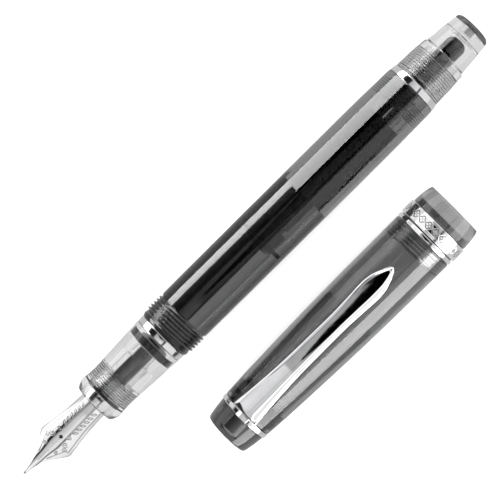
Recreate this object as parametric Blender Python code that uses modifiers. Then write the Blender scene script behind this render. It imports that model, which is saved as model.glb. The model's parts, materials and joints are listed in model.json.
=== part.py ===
"""A piston-filling fountain pen with a clear body, lying uncapped beside its screw cap.

The pen lies along X with its nib at -X and its turning knob at +X. The cap lies at -Y, mouth towards +X
and clip up. Lengths in this file are millimetres; MM turns them into Blender's metres.
Every turned piece is drawn as a half outline (distance along the axis, radius) and spun by a Screw modifier.
"""

import math

import bmesh
import bpy
from mathutils import Matrix, Vector

MM = 0.001
SIDES = 24
FINE_SIDES = 16
RUNNING_GAP = 0.1

# The pen, along its own axis, nib end first. Zero is the middle of the uncapped pen.
NIB_TIP = -63.5
SHOULDER = -54.4
MOUTH = -43.5
SECTION_END = -25.5
RING_FRONT = -25.45
RING_BACK = -23.95
BARREL_FRONT = -23.9
TENON_END = -18.9
CHAMBER_END = 15.5
BARREL_END = 45.5
COLLAR_FRONT = 47.1
COLLAR_END = 54.8
KNOB_FRONT = 55.0
KNOB_END = 59.85
DISC_FRONT = 62.15
TAIL = 63.5

# Radii of the pen.
BARREL_R = 6.12
THREAD_R = 6.26
CHAMBER_R = 3.6
BAY_R = 4.6
SOCKET_R = 4.85
TENON_R = 4.75
SECTION_REAR_R = 5.68
NIB_R = 3.1
NIB_THICK = 0.35
PISTON_R = 3.42
ROD_R = 2.9
ROD_BORE_R = 1.9
SPINDLE_R = 2.2

# Screw threads.
CAP_PITCH = 0.775
CAP_STARTS = 2
CAP_THREAD_DEPTH = 0.32
KNOB_PITCH = 0.53
DRIVE_LEAD = 3.83

# The cap, along its own axis, finial end first. Zero is the middle of the cap.
FINIAL_TIP = -32.5
CAP_RING_FRONT = -27.25
CAP_RING_BACK = -26.2
SHELL_FRONT = -26.1
WEB_FRONT = -23.4
WEB_BACK = -21.6
LINER_END = 2.8
BAND_FRONT = 24.4
BAND_BACK = 27.5
LIP_FRONT = 27.65
CAP_MOUTH = 32.05
BAND_R = 7.36
CLIP_RING_R = 5.88
CAP_BORE_R = 6.45

# Where the two lie on the table.
AXIS_SPACING = 22.96
CAP_OFFSET = 3.0
PEN_Y = (AXIS_SPACING + BAND_R - THREAD_R) / 2
BELLY = [(-2.0, 6.80), (7.4, 7.02)]
CAP_ROLL = math.radians(-5)
CAP_TILT = math.atan((BELLY[1][1] - BELLY[0][1]) / (BELLY[1][0] - BELLY[0][0]))
CAP_HEIGHT = BELLY[1][1] * math.cos(CAP_ROLL) * math.cos(CAP_TILT) - BELLY[1][0] * math.sin(CAP_TILT)

# Colour, metallic, roughness and transmission of each material.
FINISHES = {
    "smoke_plastic": ((0.16, 0.16, 0.165), 0.0, 0.04, 0.9),
    "clear_plastic": ((0.90, 0.91, 0.91), 0.0, 0.04, 0.95),
    "dark_smoke_plastic": ((0.06, 0.06, 0.065), 0.0, 0.05, 0.7),
    "frosted_plastic": ((0.62, 0.63, 0.63), 0.0, 0.2, 0.8),
    "chrome": ((0.80, 0.80, 0.80), 1.0, 0.06, 0.0),
    "rhodium": ((0.83, 0.83, 0.83), 1.0, 0.12, 0.0),
    "black_rubber": ((0.02, 0.02, 0.02), 0.0, 0.55, 0.0),
    "grey_seal": ((0.08, 0.08, 0.085), 0.0, 0.5, 0.0),
    "black_feed": ((0.03, 0.03, 0.03), 0.0, 0.35, 0.0),
}


def clear_scene():
    for obj in list(bpy.data.objects):
        bpy.data.objects.remove(obj, do_unlink=True)


def new_collection(name):
    collection = bpy.data.collections.new(name)
    bpy.context.scene.collection.children.link(collection)
    return collection


def finish(name, finish_name):
    """A material of the piece's own, in one of the listed finishes."""
    color, metallic, roughness, transmission = FINISHES[finish_name]
    material = bpy.data.materials.new(name + "_" + finish_name)
    material.use_nodes = True
    shader = material.node_tree.nodes["Principled BSDF"]
    shader.inputs["Base Color"].default_value = (*color, 1.0)
    shader.inputs["Metallic"].default_value = metallic
    shader.inputs["Roughness"].default_value = roughness
    shader.inputs["Transmission Weight"].default_value = transmission
    material.diffuse_color = (*color, 1.0)
    return material


def add_axis(name, location, rotation):
    """An empty whose X runs along a pen or cap, at the height where it rests on the table."""
    axis = bpy.data.objects.new(name, None)
    pieces.objects.link(axis)
    axis.empty_display_size = 5 * MM
    axis.location = Vector(location) * MM
    axis.rotation_euler = rotation
    return axis


def add_mesh(name, mesh, parent, finish_name, along=0.0, turn=(0, 0, 0)):
    obj = bpy.data.objects.new(name, mesh)
    if finish_name is None:
        cutters.objects.link(obj)
        obj.hide_render = True
        obj.display_type = "WIRE"
    else:
        pieces.objects.link(obj)
        mesh.materials.append(finish(name, finish_name))
    obj.parent = parent
    obj.location = (along * MM, 0, 0)
    obj.rotation_euler = turn
    return obj


def loop_of(outer, inner):
    """One outline from two front-to-back lists, opened where it would run along the axis."""
    loop = list(reversed(outer)) + list(inner)
    count = len(loop)
    for i in range(count):
        if loop[i][1] == 0 and loop[(i + 1) % count][1] == 0:
            return [loop[(i + 1 + k) % count] for k in range(count)], False
    return loop, True


def turned(name, parent, finish_name, outer, inner=(), origin=0.0, sides=SIDES):
    """A piece spun about the axis. Both lists run from the nib or finial end towards +X."""
    loop, closed = loop_of(outer, inner)
    mesh = bpy.data.meshes.new(name)
    points = [(radius * MM, 0, (along - origin) * MM) for along, radius in loop]
    edges = [(i, i + 1) for i in range(len(points) - 1)]
    if closed:
        edges.append((len(points) - 1, 0))
    mesh.from_pydata(points, edges, [])
    obj = add_mesh(name, mesh, parent, finish_name, origin, (0, math.pi / 2, 0))
    screw = obj.modifiers.new("spin", "SCREW")
    screw.axis = "Z"
    screw.angle = 2 * math.pi
    screw.steps = sides
    screw.render_steps = sides
    screw.use_merge_vertices = True
    screw.merge_threshold = 0.000001
    screw.use_smooth_shade = True
    return obj


def baked(obj):
    """Turns an object's modifiers into its mesh."""
    graph = bpy.context.evaluated_depsgraph_get()
    mesh = bpy.data.meshes.new_from_object(obj.evaluated_get(graph))
    obj.modifiers.clear()
    obj.data = mesh
    return mesh


def shade(obj, angle=35):
    obj.data.shade_smooth()
    obj.data.set_sharp_from_angle(angle=math.radians(angle))


def evenly(start, end, count, radius):
    """Outline points at one radius, at equal steps from start to end."""
    return [(start + (end - start) * i / count, radius) for i in range(count + 1)]


def thread_points(start, end, pitch, radius, per_pitch=3):
    return evenly(start, end, round((end - start) / pitch * per_pitch), radius)


def cut_thread(obj, start, end, radius, pitch, starts, depth, origin=0.0):
    """Moves the points on a plain stretch of wall into right-handed helical ridges of the given depth."""
    mesh = baked(obj)
    lead = pitch * starts
    for vertex in mesh.vertices:
        x, y, z = vertex.co / MM
        along = z + origin
        here = math.hypot(x, y)
        if abs(here - radius) > 0.01 or not start < along < end:
            continue
        phase = (along - lead * math.atan2(y, x) / (2 * math.pi)) / pitch
        ridge = 0.5 + 0.5 * math.cos(2 * math.pi * phase)
        fade = min(1.0, (along - start) / pitch, (end - along) / pitch)
        scale = (here + depth * ridge * fade) / here
        vertex.co.x *= scale
        vertex.co.y *= scale


def box(name, parent, size, along, turn=(0, 0, 0)):
    """A box cutter centred on the axis."""
    mesh = bpy.data.meshes.new(name)
    shape = bmesh.new()
    bmesh.ops.create_cube(shape, size=1.0)
    bmesh.ops.scale(shape, vec=Vector(size) * MM, verts=shape.verts)
    shape.to_mesh(mesh)
    shape.free()
    return add_mesh(name, mesh, parent, None, along, turn)


def drill(name, parent, radius, length, place, turn=(0, 0, 0), sides=FINE_SIDES):
    """A round cutter along its own Z, centred on place."""
    mesh = bpy.data.meshes.new(name)
    shape = bmesh.new()
    bmesh.ops.create_cone(
        shape,
        cap_ends=True,
        segments=sides,
        radius1=radius * MM,
        radius2=radius * MM,
        depth=length * MM,
    )
    shape.to_mesh(mesh)
    shape.free()
    obj = add_mesh(name, mesh, parent, None, 0.0, turn)
    obj.location = Vector(place) * MM
    return obj


def combine(obj, other, operation):
    boolean = obj.modifiers.new(operation.lower() + "_" + other.name, "BOOLEAN")
    boolean.operation = operation
    boolean.solver = "EXACT"
    boolean.object = other


def between(points, at):
    """Straight-line interpolation through (place, value) points in rising order."""
    if at <= points[0][0]:
        return points[0][1]
    for (a, low), (b, high) in zip(points, points[1:]):
        if at <= b:
            return low + (high - low) * (at - a) / (b - a)
    return points[-1][1]


def mesh_of_rings(name, rings):
    """A closed skin over equal rings of points, with both ends capped."""
    shape = bmesh.new()
    rows = [[shape.verts.new(Vector(point) * MM) for point in ring] for ring in rings]
    count = len(rows[0])
    for row, following in zip(rows, rows[1:]):
        for i in range(count):
            j = (i + 1) % count
            shape.faces.new((row[i], row[j], following[j], following[i]))
    shape.faces.new(rows[0])
    shape.faces.new(rows[-1])
    bmesh.ops.recalc_face_normals(shape, faces=shape.faces)
    mesh = bpy.data.meshes.new(name)
    shape.to_mesh(mesh)
    shape.free()
    return mesh


def mesh_of_grid(name, rows):
    """An open sheet over rows of points, its normals towards +Z."""
    shape = bmesh.new()
    grid = [[shape.verts.new(Vector(point) * MM) for point in row] for row in rows]
    for row, following in zip(grid, grid[1:]):
        for i in range(len(row) - 1):
            shape.faces.new((row[i], following[i], following[i + 1], row[i + 1]))
    shape.normal_update()
    if sum(face.normal.z for face in shape.faces) < 0:
        bmesh.ops.reverse_faces(shape, faces=shape.faces)
    mesh = bpy.data.meshes.new(name)
    shape.to_mesh(mesh)
    shape.free()
    return mesh


def sheet(name, parent, finish_name, rows, thickness):
    """A curved sheet of the given thickness, grown downwards from its top surface."""
    obj = add_mesh(name, mesh_of_grid(name, rows), parent, finish_name)
    solid = obj.modifiers.new("thickness", "SOLIDIFY")
    solid.thickness = thickness * MM
    solid.offset = -1
    solid.use_even_offset = True
    return obj


# The nib.
NIB_TAIL = -37.0
NIB_HALF_WIDTHS = [
    (NIB_TIP, 0.3),
    (-59.9, 0.85),
    (-57.3, 2.17),
    (-55.5, 3.44),
    (SHOULDER, 4.08),
    (-52.0, 3.82),
    (-48.0, 3.3),
    (MOUTH, 3.0),
]
NIB_BEND_RADII = [(NIB_TIP, 4.0), (SHOULDER, 5.2), (MOUTH, NIB_R)]
NIB_LEVEL = -46.0
NIB_FALL = 2.55
HOLE_AT = -52.7
HOLE_R = 0.42
SLIT = 0.1


def nib_crown(along):
    """Height of the nib's centre line above the pen's axis: level near the section, falling to the tip."""
    part = max(0.0, (NIB_LEVEL - along) / (NIB_LEVEL - NIB_TIP))
    return NIB_R - NIB_FALL * part**1.4


def nib_row(along, columns):
    """One arc of the nib's top, from its +Y edge to its -Y edge."""
    bend = between(NIB_BEND_RADII, along)
    reach = math.asin(between(NIB_HALF_WIDTHS, along) / bend)
    row = []
    for i in range(columns + 1):
        angle = reach * (1 - 2 * i / columns)
        row.append((along, bend * math.sin(angle), nib_crown(along) - bend * (1 - math.cos(angle))))
    return row


def make_nib():
    stations = evenly(NIB_TIP, SHOULDER, 9, 0) + evenly(SHOULDER, MOUTH, 6, 0)[1:] + [(NIB_TAIL, 0)]
    rows = [nib_row(along, 12) for along, _ in stations]
    nib = sheet("nib", pen_axis, "rhodium", rows, NIB_THICK)
    ball = bpy.data.meshes.new("nib_point")
    shape = bmesh.new()
    bmesh.ops.create_uvsphere(shape, u_segments=12, v_segments=8, radius=0.36 * MM)
    shape.to_mesh(ball)
    shape.free()
    point = add_mesh("nib_point", ball, pen_axis, None)
    point.location = Vector((NIB_TIP + 0.33, 0, nib_crown(NIB_TIP) - NIB_THICK / 2)) * MM
    combine(nib, point, "UNION")
    hole = drill("breather_hole", pen_axis, HOLE_R, 6, (HOLE_AT, 0, nib_crown(HOLE_AT)), sides=16)
    combine(nib, hole, "DIFFERENCE")
    slit = box("nib_slit", pen_axis, (HOLE_AT - NIB_TIP + 2, SLIT, 9), (HOLE_AT + NIB_TIP - 2) / 2)
    combine(nib, slit, "DIFFERENCE")
    return nib


# The feed, a comb of black plastic that hugs the underside of the nib.
FEED_TIP = -59.6
FEED_STEP = -36.6
FEED_TAIL = -28.5
FEED_TAIL_R = 1.0
FEED_GAP = 0.22
FEED_HALF_WIDTHS = [(FEED_TIP, 0.35), (-56.5, 1.3), (-53.0, 2.2), (-48.0, 2.45)]
FEED_DEPTHS = [(FEED_TIP, 0.25), (-56.0, 1.6), (-50.0, 3.2), (-46.0, 3.2)]


def feed_ring(along, count):
    bend = between(NIB_BEND_RADII, along) - NIB_THICK - FEED_GAP
    half = between(FEED_HALF_WIDTHS, along)
    top = nib_crown(along) - NIB_THICK - FEED_GAP
    edge = top - bend + math.sqrt(bend * bend - half * half)
    depth = between(FEED_DEPTHS, along)
    ring = []
    for i in range(count):
        angle = 2 * math.pi * i / count
        y = half * math.cos(angle)
        if math.sin(angle) >= 0:
            z = top - bend + math.sqrt(bend * bend - y * y)
        else:
            z = edge + depth * math.sin(angle)
        ring.append((along, y, z))
    return ring


def round_ring(along, radius, count):
    return [
        (along, radius * math.cos(2 * math.pi * i / count), radius * math.sin(2 * math.pi * i / count))
        for i in range(count)
    ]


def make_feed():
    rings = [feed_ring(along, 20) for along, _ in evenly(FEED_TIP, -46.0, 8, 0)]
    rings.append(feed_ring(FEED_STEP, 20))
    rings.append(round_ring(FEED_STEP + 0.1, FEED_TAIL_R, 20))
    rings.append(round_ring(FEED_TAIL, FEED_TAIL_R, 20))
    feed = add_mesh("feed", mesh_of_rings("feed", rings), pen_axis, "black_feed")
    shade(feed)
    return feed


# The nib's collar screws into the section and carries the nib, the feed and a sealing ring.
COLLAR_R = 4.05
COLLAR_BODY_R = 2.9
COLLAR_NECK_R = 2.3
GROOVE = (-41.25, -40.4)
GROOVE_R = 3.62


def make_nib_unit():
    make_nib()
    make_feed()
    collar_outer = [
        (-43.2, COLLAR_R - 0.15),
        (-43.05, COLLAR_R),
        (GROOVE[0], COLLAR_R),
        (GROOVE[0], GROOVE_R),
        (GROOVE[1], GROOVE_R),
        (GROOVE[1], COLLAR_R),
        (-35.9, COLLAR_R),
        (-35.9, COLLAR_BODY_R),
        (-31.25, COLLAR_BODY_R),
        (-31.25, COLLAR_NECK_R),
        (-28.45, COLLAR_NECK_R),
    ]
    collar_inner = [(-43.2, 3.2), (-36.4, 3.2), (-36.4, 1.15), (-28.45, 1.15)]
    turned("nib_collar", pen_axis, "clear_plastic", collar_outer, collar_inner)
    low, high = GROOVE_R + 0.05, COLLAR_R + 0.04
    front, back = GROOVE[0] + 0.05, GROOVE[1] - 0.05
    turned(
        "nib_oring",
        pen_axis,
        "black_rubber",
        [(front, high - 0.15), (front + 0.2, high), (back - 0.2, high), (back, high - 0.15)],
        [(front, low), (back, low)],
    )


# The section, where the pen is gripped: flared at the mouth, slim behind it, with a tenon at its rear.
SECTION_PROFILE = [
    (MOUTH, 4.45),
    (-43.1, 4.8),
    (-42.3, 5.14),
    (-41.5, 5.32),
    (-40.7, 5.2),
    (-38.3, 5.08),
    (-35.1, 5.24),
    (-30.3, 5.48),
    (SECTION_END, SECTION_REAR_R),
]
SECTION_SEAL = (-28.2, -26.7)


def make_section():
    outer = SECTION_PROFILE + [(SECTION_END, TENON_R), (TENON_END, TENON_R)]
    inner = [
        (MOUTH, 4.3),
        (-43.3, 4.15),
        (-35.75, 4.15),
        (-35.75, 3.0),
        (-31.1, 3.0),
        (-31.1, 2.4),
        (-28.3, 2.4),
        (-28.3, 3.5),
        (TENON_END, 3.5),
    ]
    turned("section", pen_axis, "clear_plastic", outer, inner)
    turned(
        "section_seal",
        pen_axis,
        "grey_seal",
        [(SECTION_SEAL[0], 3.4), (SECTION_SEAL[1], 3.4)],
        [(SECTION_SEAL[0], 1.6), (SECTION_SEAL[1], 1.6)],
    )
    turned(
        "section_ring",
        pen_axis,
        "chrome",
        [(RING_FRONT, 5.66), (-25.3, 5.74), (-24.1, 5.78), (RING_BACK, 5.72)],
        [(RING_FRONT, SOCKET_R), (RING_BACK, SOCKET_R)],
    )


# The barrel holds the ink chamber in front and the piston's mechanism behind.
CAP_THREAD = (-22.7, -18.2)
THREAD_ROOT_R = THREAD_R - CAP_THREAD_DEPTH


def make_barrel():
    outer = [
        (BARREL_FRONT, 5.75),
        (-23.4, THREAD_ROOT_R - 0.05),
        *thread_points(*CAP_THREAD, CAP_PITCH, THREAD_ROOT_R),
        (-17.9, 6.08),
        (4.0, BARREL_R),
        (34.0, BARREL_R),
        (40.0, 6.03),
        (45.3, 5.97),
        (BARREL_END, 5.9),
    ]
    inner = [
        (BARREL_FRONT, SOCKET_R),
        (-18.7, SOCKET_R),
        (-18.7, CHAMBER_R),
        (CHAMBER_END, CHAMBER_R),
        (CHAMBER_END, BAY_R),
        (BARREL_END, BAY_R),
    ]
    barrel = turned("barrel", pen_axis, "smoke_plastic", outer, inner)
    cut_thread(barrel, *CAP_THREAD, THREAD_ROOT_R, CAP_PITCH, CAP_STARTS, CAP_THREAD_DEPTH)
    shade(barrel)


# The piston: a rubber seal on a plastic head, on a hollow rod whose two keys slide in the sleeve's slots.
PISTON_FRONT = 1.8
SEAL_FRONT = 2.25
SEAL_END = 7.0
HEAD_END = 8.0
ROD_END = 36.9
SEAL_BORE_R = 2.3
KEY_LENGTH = 1.5
KEY_SPAN = 8.2
KEY_WIDTH = 1.1
KEY_TURN = math.radians(45)


def make_piston():
    seal_outer = [
        (SEAL_FRONT, PISTON_R - 0.12),
        (2.75, PISTON_R),
        (2.85, CHAMBER_R - 0.06),
        (3.65, CHAMBER_R - 0.06),
        (3.75, PISTON_R),
        (SEAL_END, PISTON_R),
    ]
    seal_inner = [(SEAL_FRONT, SEAL_BORE_R), (SEAL_END, SEAL_BORE_R)]
    turned("piston_seal", pen_axis, "grey_seal", seal_outer, seal_inner, SEAL_FRONT)
    head_outer = [
        (PISTON_FRONT, 0),
        (PISTON_FRONT, 2.75),
        (1.95, 2.9),
        (SEAL_FRONT - 0.1, 2.9),
        (SEAL_FRONT - 0.1, SEAL_BORE_R - 0.1),
        (SEAL_END + 0.1, SEAL_BORE_R - 0.1),
        (SEAL_END + 0.1, 2.4),
        (HEAD_END, 2.4),
        (HEAD_END, ROD_BORE_R - 0.1),
        (10.6, ROD_BORE_R - 0.1),
        (10.6, 0),
    ]
    turned("piston_head", pen_axis, "smoke_plastic", head_outer, origin=PISTON_FRONT)
    rod_outer = [(HEAD_END + 0.05, 0), (HEAD_END + 0.05, ROD_R), (ROD_END, ROD_R), (ROD_END, 0)]
    rod = turned("piston_rod", pen_axis, "smoke_plastic", rod_outer, origin=HEAD_END, sides=FINE_SIDES)
    key_size = (KEY_LENGTH, KEY_SPAN, KEY_WIDTH)
    keys = box("rod_keys", pen_axis, key_size, ROD_END - KEY_LENGTH / 2 - 0.01, (KEY_TURN, 0, 0))
    combine(rod, keys, "UNION")
    bore = drill("rod_bore", pen_axis, ROD_BORE_R, 60, (24.0, 0, 0), (0, math.pi / 2, 0))
    combine(rod, bore, "DIFFERENCE")


# The guide sleeve and the rear housing stay still in the barrel. The fronts of the sleeve's slots stop the
# rod's keys, and so the piston, after PISTON_TRAVEL.
PISTON_TRAVEL = 18.7
SLOT_FRONT = ROD_END - KEY_LENGTH - PISTON_TRAVEL - 0.2
SLOT_WIDTH = 1.5
NOTCH_WIDTH = 1.9
SLEEVE_R = BAY_R - RUNNING_GAP
SLEEVE_END = 37.2
FEET_FRONT = 37.4
FEET_END = 40.3
HOUSING_BORE_R = 4.1
HOUSING_PROFILE = [
    (COLLAR_FRONT, 5.62),
    (50.9, 5.52),
    (52.9, 5.38),
    (COLLAR_END - 0.25, 5.25),
    (COLLAR_END, 5.05),
]


def make_mechanism_housing():
    sleeve = turned(
        "guide_sleeve",
        pen_axis,
        "smoke_plastic",
        [(CHAMBER_END + 0.1, SLEEVE_R), (SLEEVE_END, SLEEVE_R)],
        [(CHAMBER_END + 0.1, ROD_R + RUNNING_GAP), (SLEEVE_END, ROD_R + RUNNING_GAP)],
    )
    slots = box(
        "sleeve_slots",
        pen_axis,
        (SLEEVE_END + 1 - SLOT_FRONT, 3 * SLEEVE_R, SLOT_WIDTH),
        (SLEEVE_END + 1 + SLOT_FRONT) / 2,
        (KEY_TURN, 0, 0),
    )
    combine(sleeve, slots, "DIFFERENCE")

    outer = [(FEET_FRONT, SLEEVE_R), (COLLAR_FRONT, SLEEVE_R)] + HOUSING_PROFILE
    inner = [
        (FEET_FRONT, 3.3),
        (FEET_END, 3.3),
        (FEET_END, 2.1),
        (42.0, 2.1),
        (42.0, 2.85),
        (47.4, 2.85),
        (47.4, HOUSING_BORE_R),
        (COLLAR_END, HOUSING_BORE_R),
    ]
    housing = turned("rear_housing", pen_axis, "clear_plastic", outer, inner)
    notch_length = FEET_END - 0.1 - FEET_FRONT + 1
    for i in range(3):
        notch = box(
            f"housing_notch_{i + 1}",
            pen_axis,
            (notch_length, 3 * SLEEVE_R, NOTCH_WIDTH),
            FEET_FRONT - 1 + notch_length / 2,
            (math.radians(60 * i + 15), 0, 0),
        )
        combine(housing, notch, "DIFFERENCE")
    turned(
        "tail_ring",
        pen_axis,
        "chrome",
        [(BARREL_END + 0.05, 5.86), (45.75, 5.92), (46.8, 5.78), (COLLAR_FRONT - 0.05, 5.68)],
        [(BARREL_END + 0.05, BAY_R + 0.05), (COLLAR_FRONT - 0.05, BAY_R + 0.05)],
    )


# The knob turns the spindle, whose coarse screw drives the rod.
SPINDLE_FRONT = 11.7
SCREW_END = 37.0
SCREW_ROOT_R = 1.35
SCREW_DEPTH = 0.4
SHANK_R = 3.95
SHANK_FRONT = 47.6
RING_AT = (43.0, 43.9)


def make_knob():
    spindle_outer = [
        (SPINDLE_FRONT, 0),
        *thread_points(SPINDLE_FRONT, SCREW_END, DRIVE_LEAD / 2, SCREW_ROOT_R),
        (SCREW_END, 2.0),
        (RING_AT[0], 2.0),
        (RING_AT[0], 1.6),
        (RING_AT[1], 1.6),
        (RING_AT[1], 2.0),
        (SHANK_FRONT, 2.0),
        (SHANK_FRONT, SPINDLE_R),
        (58.0, SPINDLE_R),
        (58.7, 1.8),
        (59.1, 1.0),
        (59.2, 0),
    ]
    spindle = turned(
        "spindle", pen_axis, "clear_plastic", spindle_outer, origin=SPINDLE_FRONT, sides=FINE_SIDES
    )
    cut_thread(
        spindle, SPINDLE_FRONT, SCREW_END, SCREW_ROOT_R, DRIVE_LEAD / 2, 2, SCREW_DEPTH, SPINDLE_FRONT
    )
    shade(spindle)

    front, back = RING_AT[0] + 0.06, RING_AT[1] - 0.06
    turned(
        "spindle_oring",
        pen_axis,
        "grey_seal",
        [(front, 2.5), (front + 0.15, 2.76), (back - 0.15, 2.76), (back, 2.5)],
        [(front, 1.9), (front + 0.15, 1.66), (back - 0.15, 1.66), (back, 1.9)],
        front,
        FINE_SIDES,
    )
    knob_outer = [
        (SHANK_FRONT, SHANK_R - 0.2),
        (SHANK_FRONT + 0.2, SHANK_R),
        (KNOB_FRONT, SHANK_R),
        (KNOB_FRONT, 4.72),
        (KNOB_FRONT + 0.15, 4.88),
        (KNOB_END, 4.46),
    ]
    knob_inner = [
        (SHANK_FRONT, SPINDLE_R + 0.08),
        (59.4, SPINDLE_R + 0.08),
        (59.4, 3.0),
        (KNOB_END, 3.0),
    ]
    knob = turned("knob", pen_axis, "clear_plastic", knob_outer, knob_inner, KNOB_FRONT)
    shade(knob)
    plug_outer = [
        (59.5, 0),
        (59.5, 2.9),
        (KNOB_END + 0.08, 2.9),
        (KNOB_END + 0.08, 4.44),
        (DISC_FRONT - 0.08, 4.22),
    ]
    plug_inner = [(60.7, 0), (60.7, 1.1), (DISC_FRONT - 0.08, 1.1)]
    turned("knob_plug", pen_axis, "clear_plastic", plug_outer, plug_inner, KNOB_END)
    disc_outer = [
        (60.85, 0),
        (60.85, 1.0),
        (DISC_FRONT, 1.0),
        (DISC_FRONT, 4.2),
        (62.6, 4.16),
        (63.0, 3.95),
        (63.3, 3.4),
        (63.45, 2.2),
        (TAIL, 0),
    ]
    turned("knob_disc", pen_axis, "dark_smoke_plastic", disc_outer, origin=DISC_FRONT)


# The cap.
SHELL_PROFILE = [
    (SHELL_FRONT, 5.82),
    (-23.8, 5.97),
    (-21.4, 6.1),
    (-16.6, 6.3),
    (-9.4, 6.56),
    *BELLY,
    (14.6, 7.08),
    (23.15, 7.14),
]
CAP_INNER_THREAD = (19.4, 23.2)
STEP_R = 6.76
MOUTH_R = 6.32
RIM_R = 6.85
FINIAL_PROFILE = [
    (FINIAL_TIP, 0),
    (-32.35, 3.0),
    (-32.1, 4.6),
    (-31.8, 4.96),
    (-31.0, 5.14),
    (-29.4, 5.4),
    (-27.35, 5.62),
]
POST_R = 1.67
POST_TIP = -31.0
GASKET = (-25.2, -23.5)
WASHER = (-26.0, -25.3)


def make_cap_shell():
    outer = SHELL_PROFILE + [(23.15, STEP_R), (29.0, STEP_R)]
    inner = [
        (SHELL_FRONT, 5.1),
        (WEB_FRONT, 5.1),
        (WEB_FRONT, POST_R + 0.1),
        (WEB_BACK, POST_R + 0.1),
        (WEB_BACK, 5.3),
        (LINER_END + 0.2, 6.28),
        (17.0, CAP_BORE_R),
        *thread_points(*CAP_INNER_THREAD, CAP_PITCH, CAP_BORE_R),
        (29.0, CAP_BORE_R),
    ]
    shell = turned("cap_shell", cap_axis, "smoke_plastic", outer, inner)
    cut_thread(shell, *CAP_INNER_THREAD, CAP_BORE_R, CAP_PITCH, CAP_STARTS, -CAP_THREAD_DEPTH)
    shade(shell)


def make_cap_inside():
    liner_outer = [(WEB_BACK + 0.1, 5.15), (LINER_END, 6.12)]
    liner_inner = [
        (WEB_BACK + 0.1, POST_R + 0.1),
        (WEB_BACK + 0.9, POST_R + 0.1),
        (WEB_BACK + 0.9, 4.6),
        (LINER_END, 5.6),
    ]
    turned("cap_liner", cap_axis, "smoke_plastic", liner_outer, liner_inner)
    for name, finish_name, (front, back) in (
        ("cap_gasket", "grey_seal", GASKET),
        ("cap_washer", "frosted_plastic", WASHER),
    ):
        turned(name, cap_axis, finish_name, [(front, 5.0), (back, 5.0)], [(front, 1.8), (back, 1.8)])
    finial_inner = [
        (POST_TIP - 0.1, 0),
        (POST_TIP - 0.1, POST_R + 0.08),
        (-27.35, POST_R + 0.08),
    ]
    turned("finial", cap_axis, "dark_smoke_plastic", FINIAL_PROFILE, finial_inner)
    screw_outer = [
        (POST_TIP, 0),
        (POST_TIP, POST_R - 0.3),
        (POST_TIP + 0.3, POST_R),
        (WEB_BACK + 1.0, POST_R),
        (WEB_BACK + 1.0, 3.0),
        (WEB_BACK + 2.2, 3.0),
        (WEB_BACK + 2.2, 0),
    ]
    turned("finial_screw", cap_axis, "chrome", screw_outer, sides=FINE_SIDES)


def make_cap_trim():
    turned(
        "clip_ring",
        cap_axis,
        "chrome",
        [
            (CAP_RING_FRONT, CLIP_RING_R - 0.1),
            (-27.1, CLIP_RING_R),
            (-26.35, CLIP_RING_R),
            (CAP_RING_BACK, CLIP_RING_R - 0.06),
        ],
        [(CAP_RING_FRONT, POST_R + 0.1), (CAP_RING_BACK, POST_R + 0.1)],
    )
    turned(
        "cap_thin_ring",
        cap_axis,
        "chrome",
        [(23.25, 7.12), (23.4, 7.2), (24.0, 7.2), (24.15, 7.12)],
        [(23.25, RIM_R), (24.15, RIM_R)],
    )
    turned(
        "cap_band",
        cap_axis,
        "chrome",
        [
            (BAND_FRONT, 7.2),
            (24.55, 7.34),
            (25.5, BAND_R),
            (26.4, BAND_R),
            (27.3, 7.32),
            (BAND_BACK, 7.2),
        ],
        [(BAND_FRONT, RIM_R), (BAND_BACK, RIM_R)],
    )
    lip_outer = [
        (LIP_FRONT, 7.0),
        (29.0, 6.9),
        (30.6, 6.78),
        (31.5, 6.66),
        (31.9, 6.58),
        (CAP_MOUTH, 6.5),
    ]
    lip_inner = [(LIP_FRONT, RIM_R), (29.1, RIM_R), (29.1, CAP_BORE_R), (31.0, MOUTH_R), (CAP_MOUTH, MOUTH_R)]
    turned("cap_lip", cap_axis, "frosted_plastic", lip_outer, lip_inner)


# The clip: a springy channel with raised rims, whose tab bridges the ring and whose rounded end rides the cap.
CLIP_ROOT = -26.1
CLIP_TIP = 15.3
TAB_FRONT = -27.3
TAB_END = -26.2
TAB_HALF_WIDTH = 1.38
CLIP_HALF_WIDTHS = [
    (TAB_FRONT, TAB_HALF_WIDTH),
    (TAB_END, TAB_HALF_WIDTH),
    (CLIP_ROOT, 3.05),
    (-21.6, 2.73),
    (-11.8, 2.15),
    (0.0, 2.04),
    (8.9, 2.41),
    (11.0, 2.25),
    (13.0, 1.7),
    (14.4, 0.95),
    (CLIP_TIP, 0.2),
]
CLIP_HEIGHTS = [
    (TAB_FRONT, 6.55),
    (TAB_END, 6.65),
    (CLIP_ROOT, 6.85),
    (-24.8, 7.35),
    (-21.0, 7.75),
    (-10.0, 8.0),
    (0.0, 8.15),
    (8.0, 8.1),
    (13.0, 7.95),
    (CLIP_TIP, 7.85),
]
CLIP_THICK = 0.5
CLIP_RIM = 0.3
CHANNEL_DEPTH = 0.35


def clip_row(along, columns):
    """Across the clip: a rim at each edge, a shallow channel between them, all bowed a little round the cap."""
    half = between(CLIP_HALF_WIDTHS, along)
    top = between(CLIP_HEIGHTS, along)
    depth = CHANNEL_DEPTH * min(1.0, half / 1.5, max(0.0, along - CLIP_ROOT))
    row = []
    for i in range(columns + 1):
        across = 1 - 2 * i / columns
        channel = math.cos(math.pi * across / 2) ** 0.7 if abs(across) < 1 else 0.0
        bow = CLIP_RIM * across * across
        row.append((along, half * across, top - bow - depth * channel))
    return row


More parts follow.
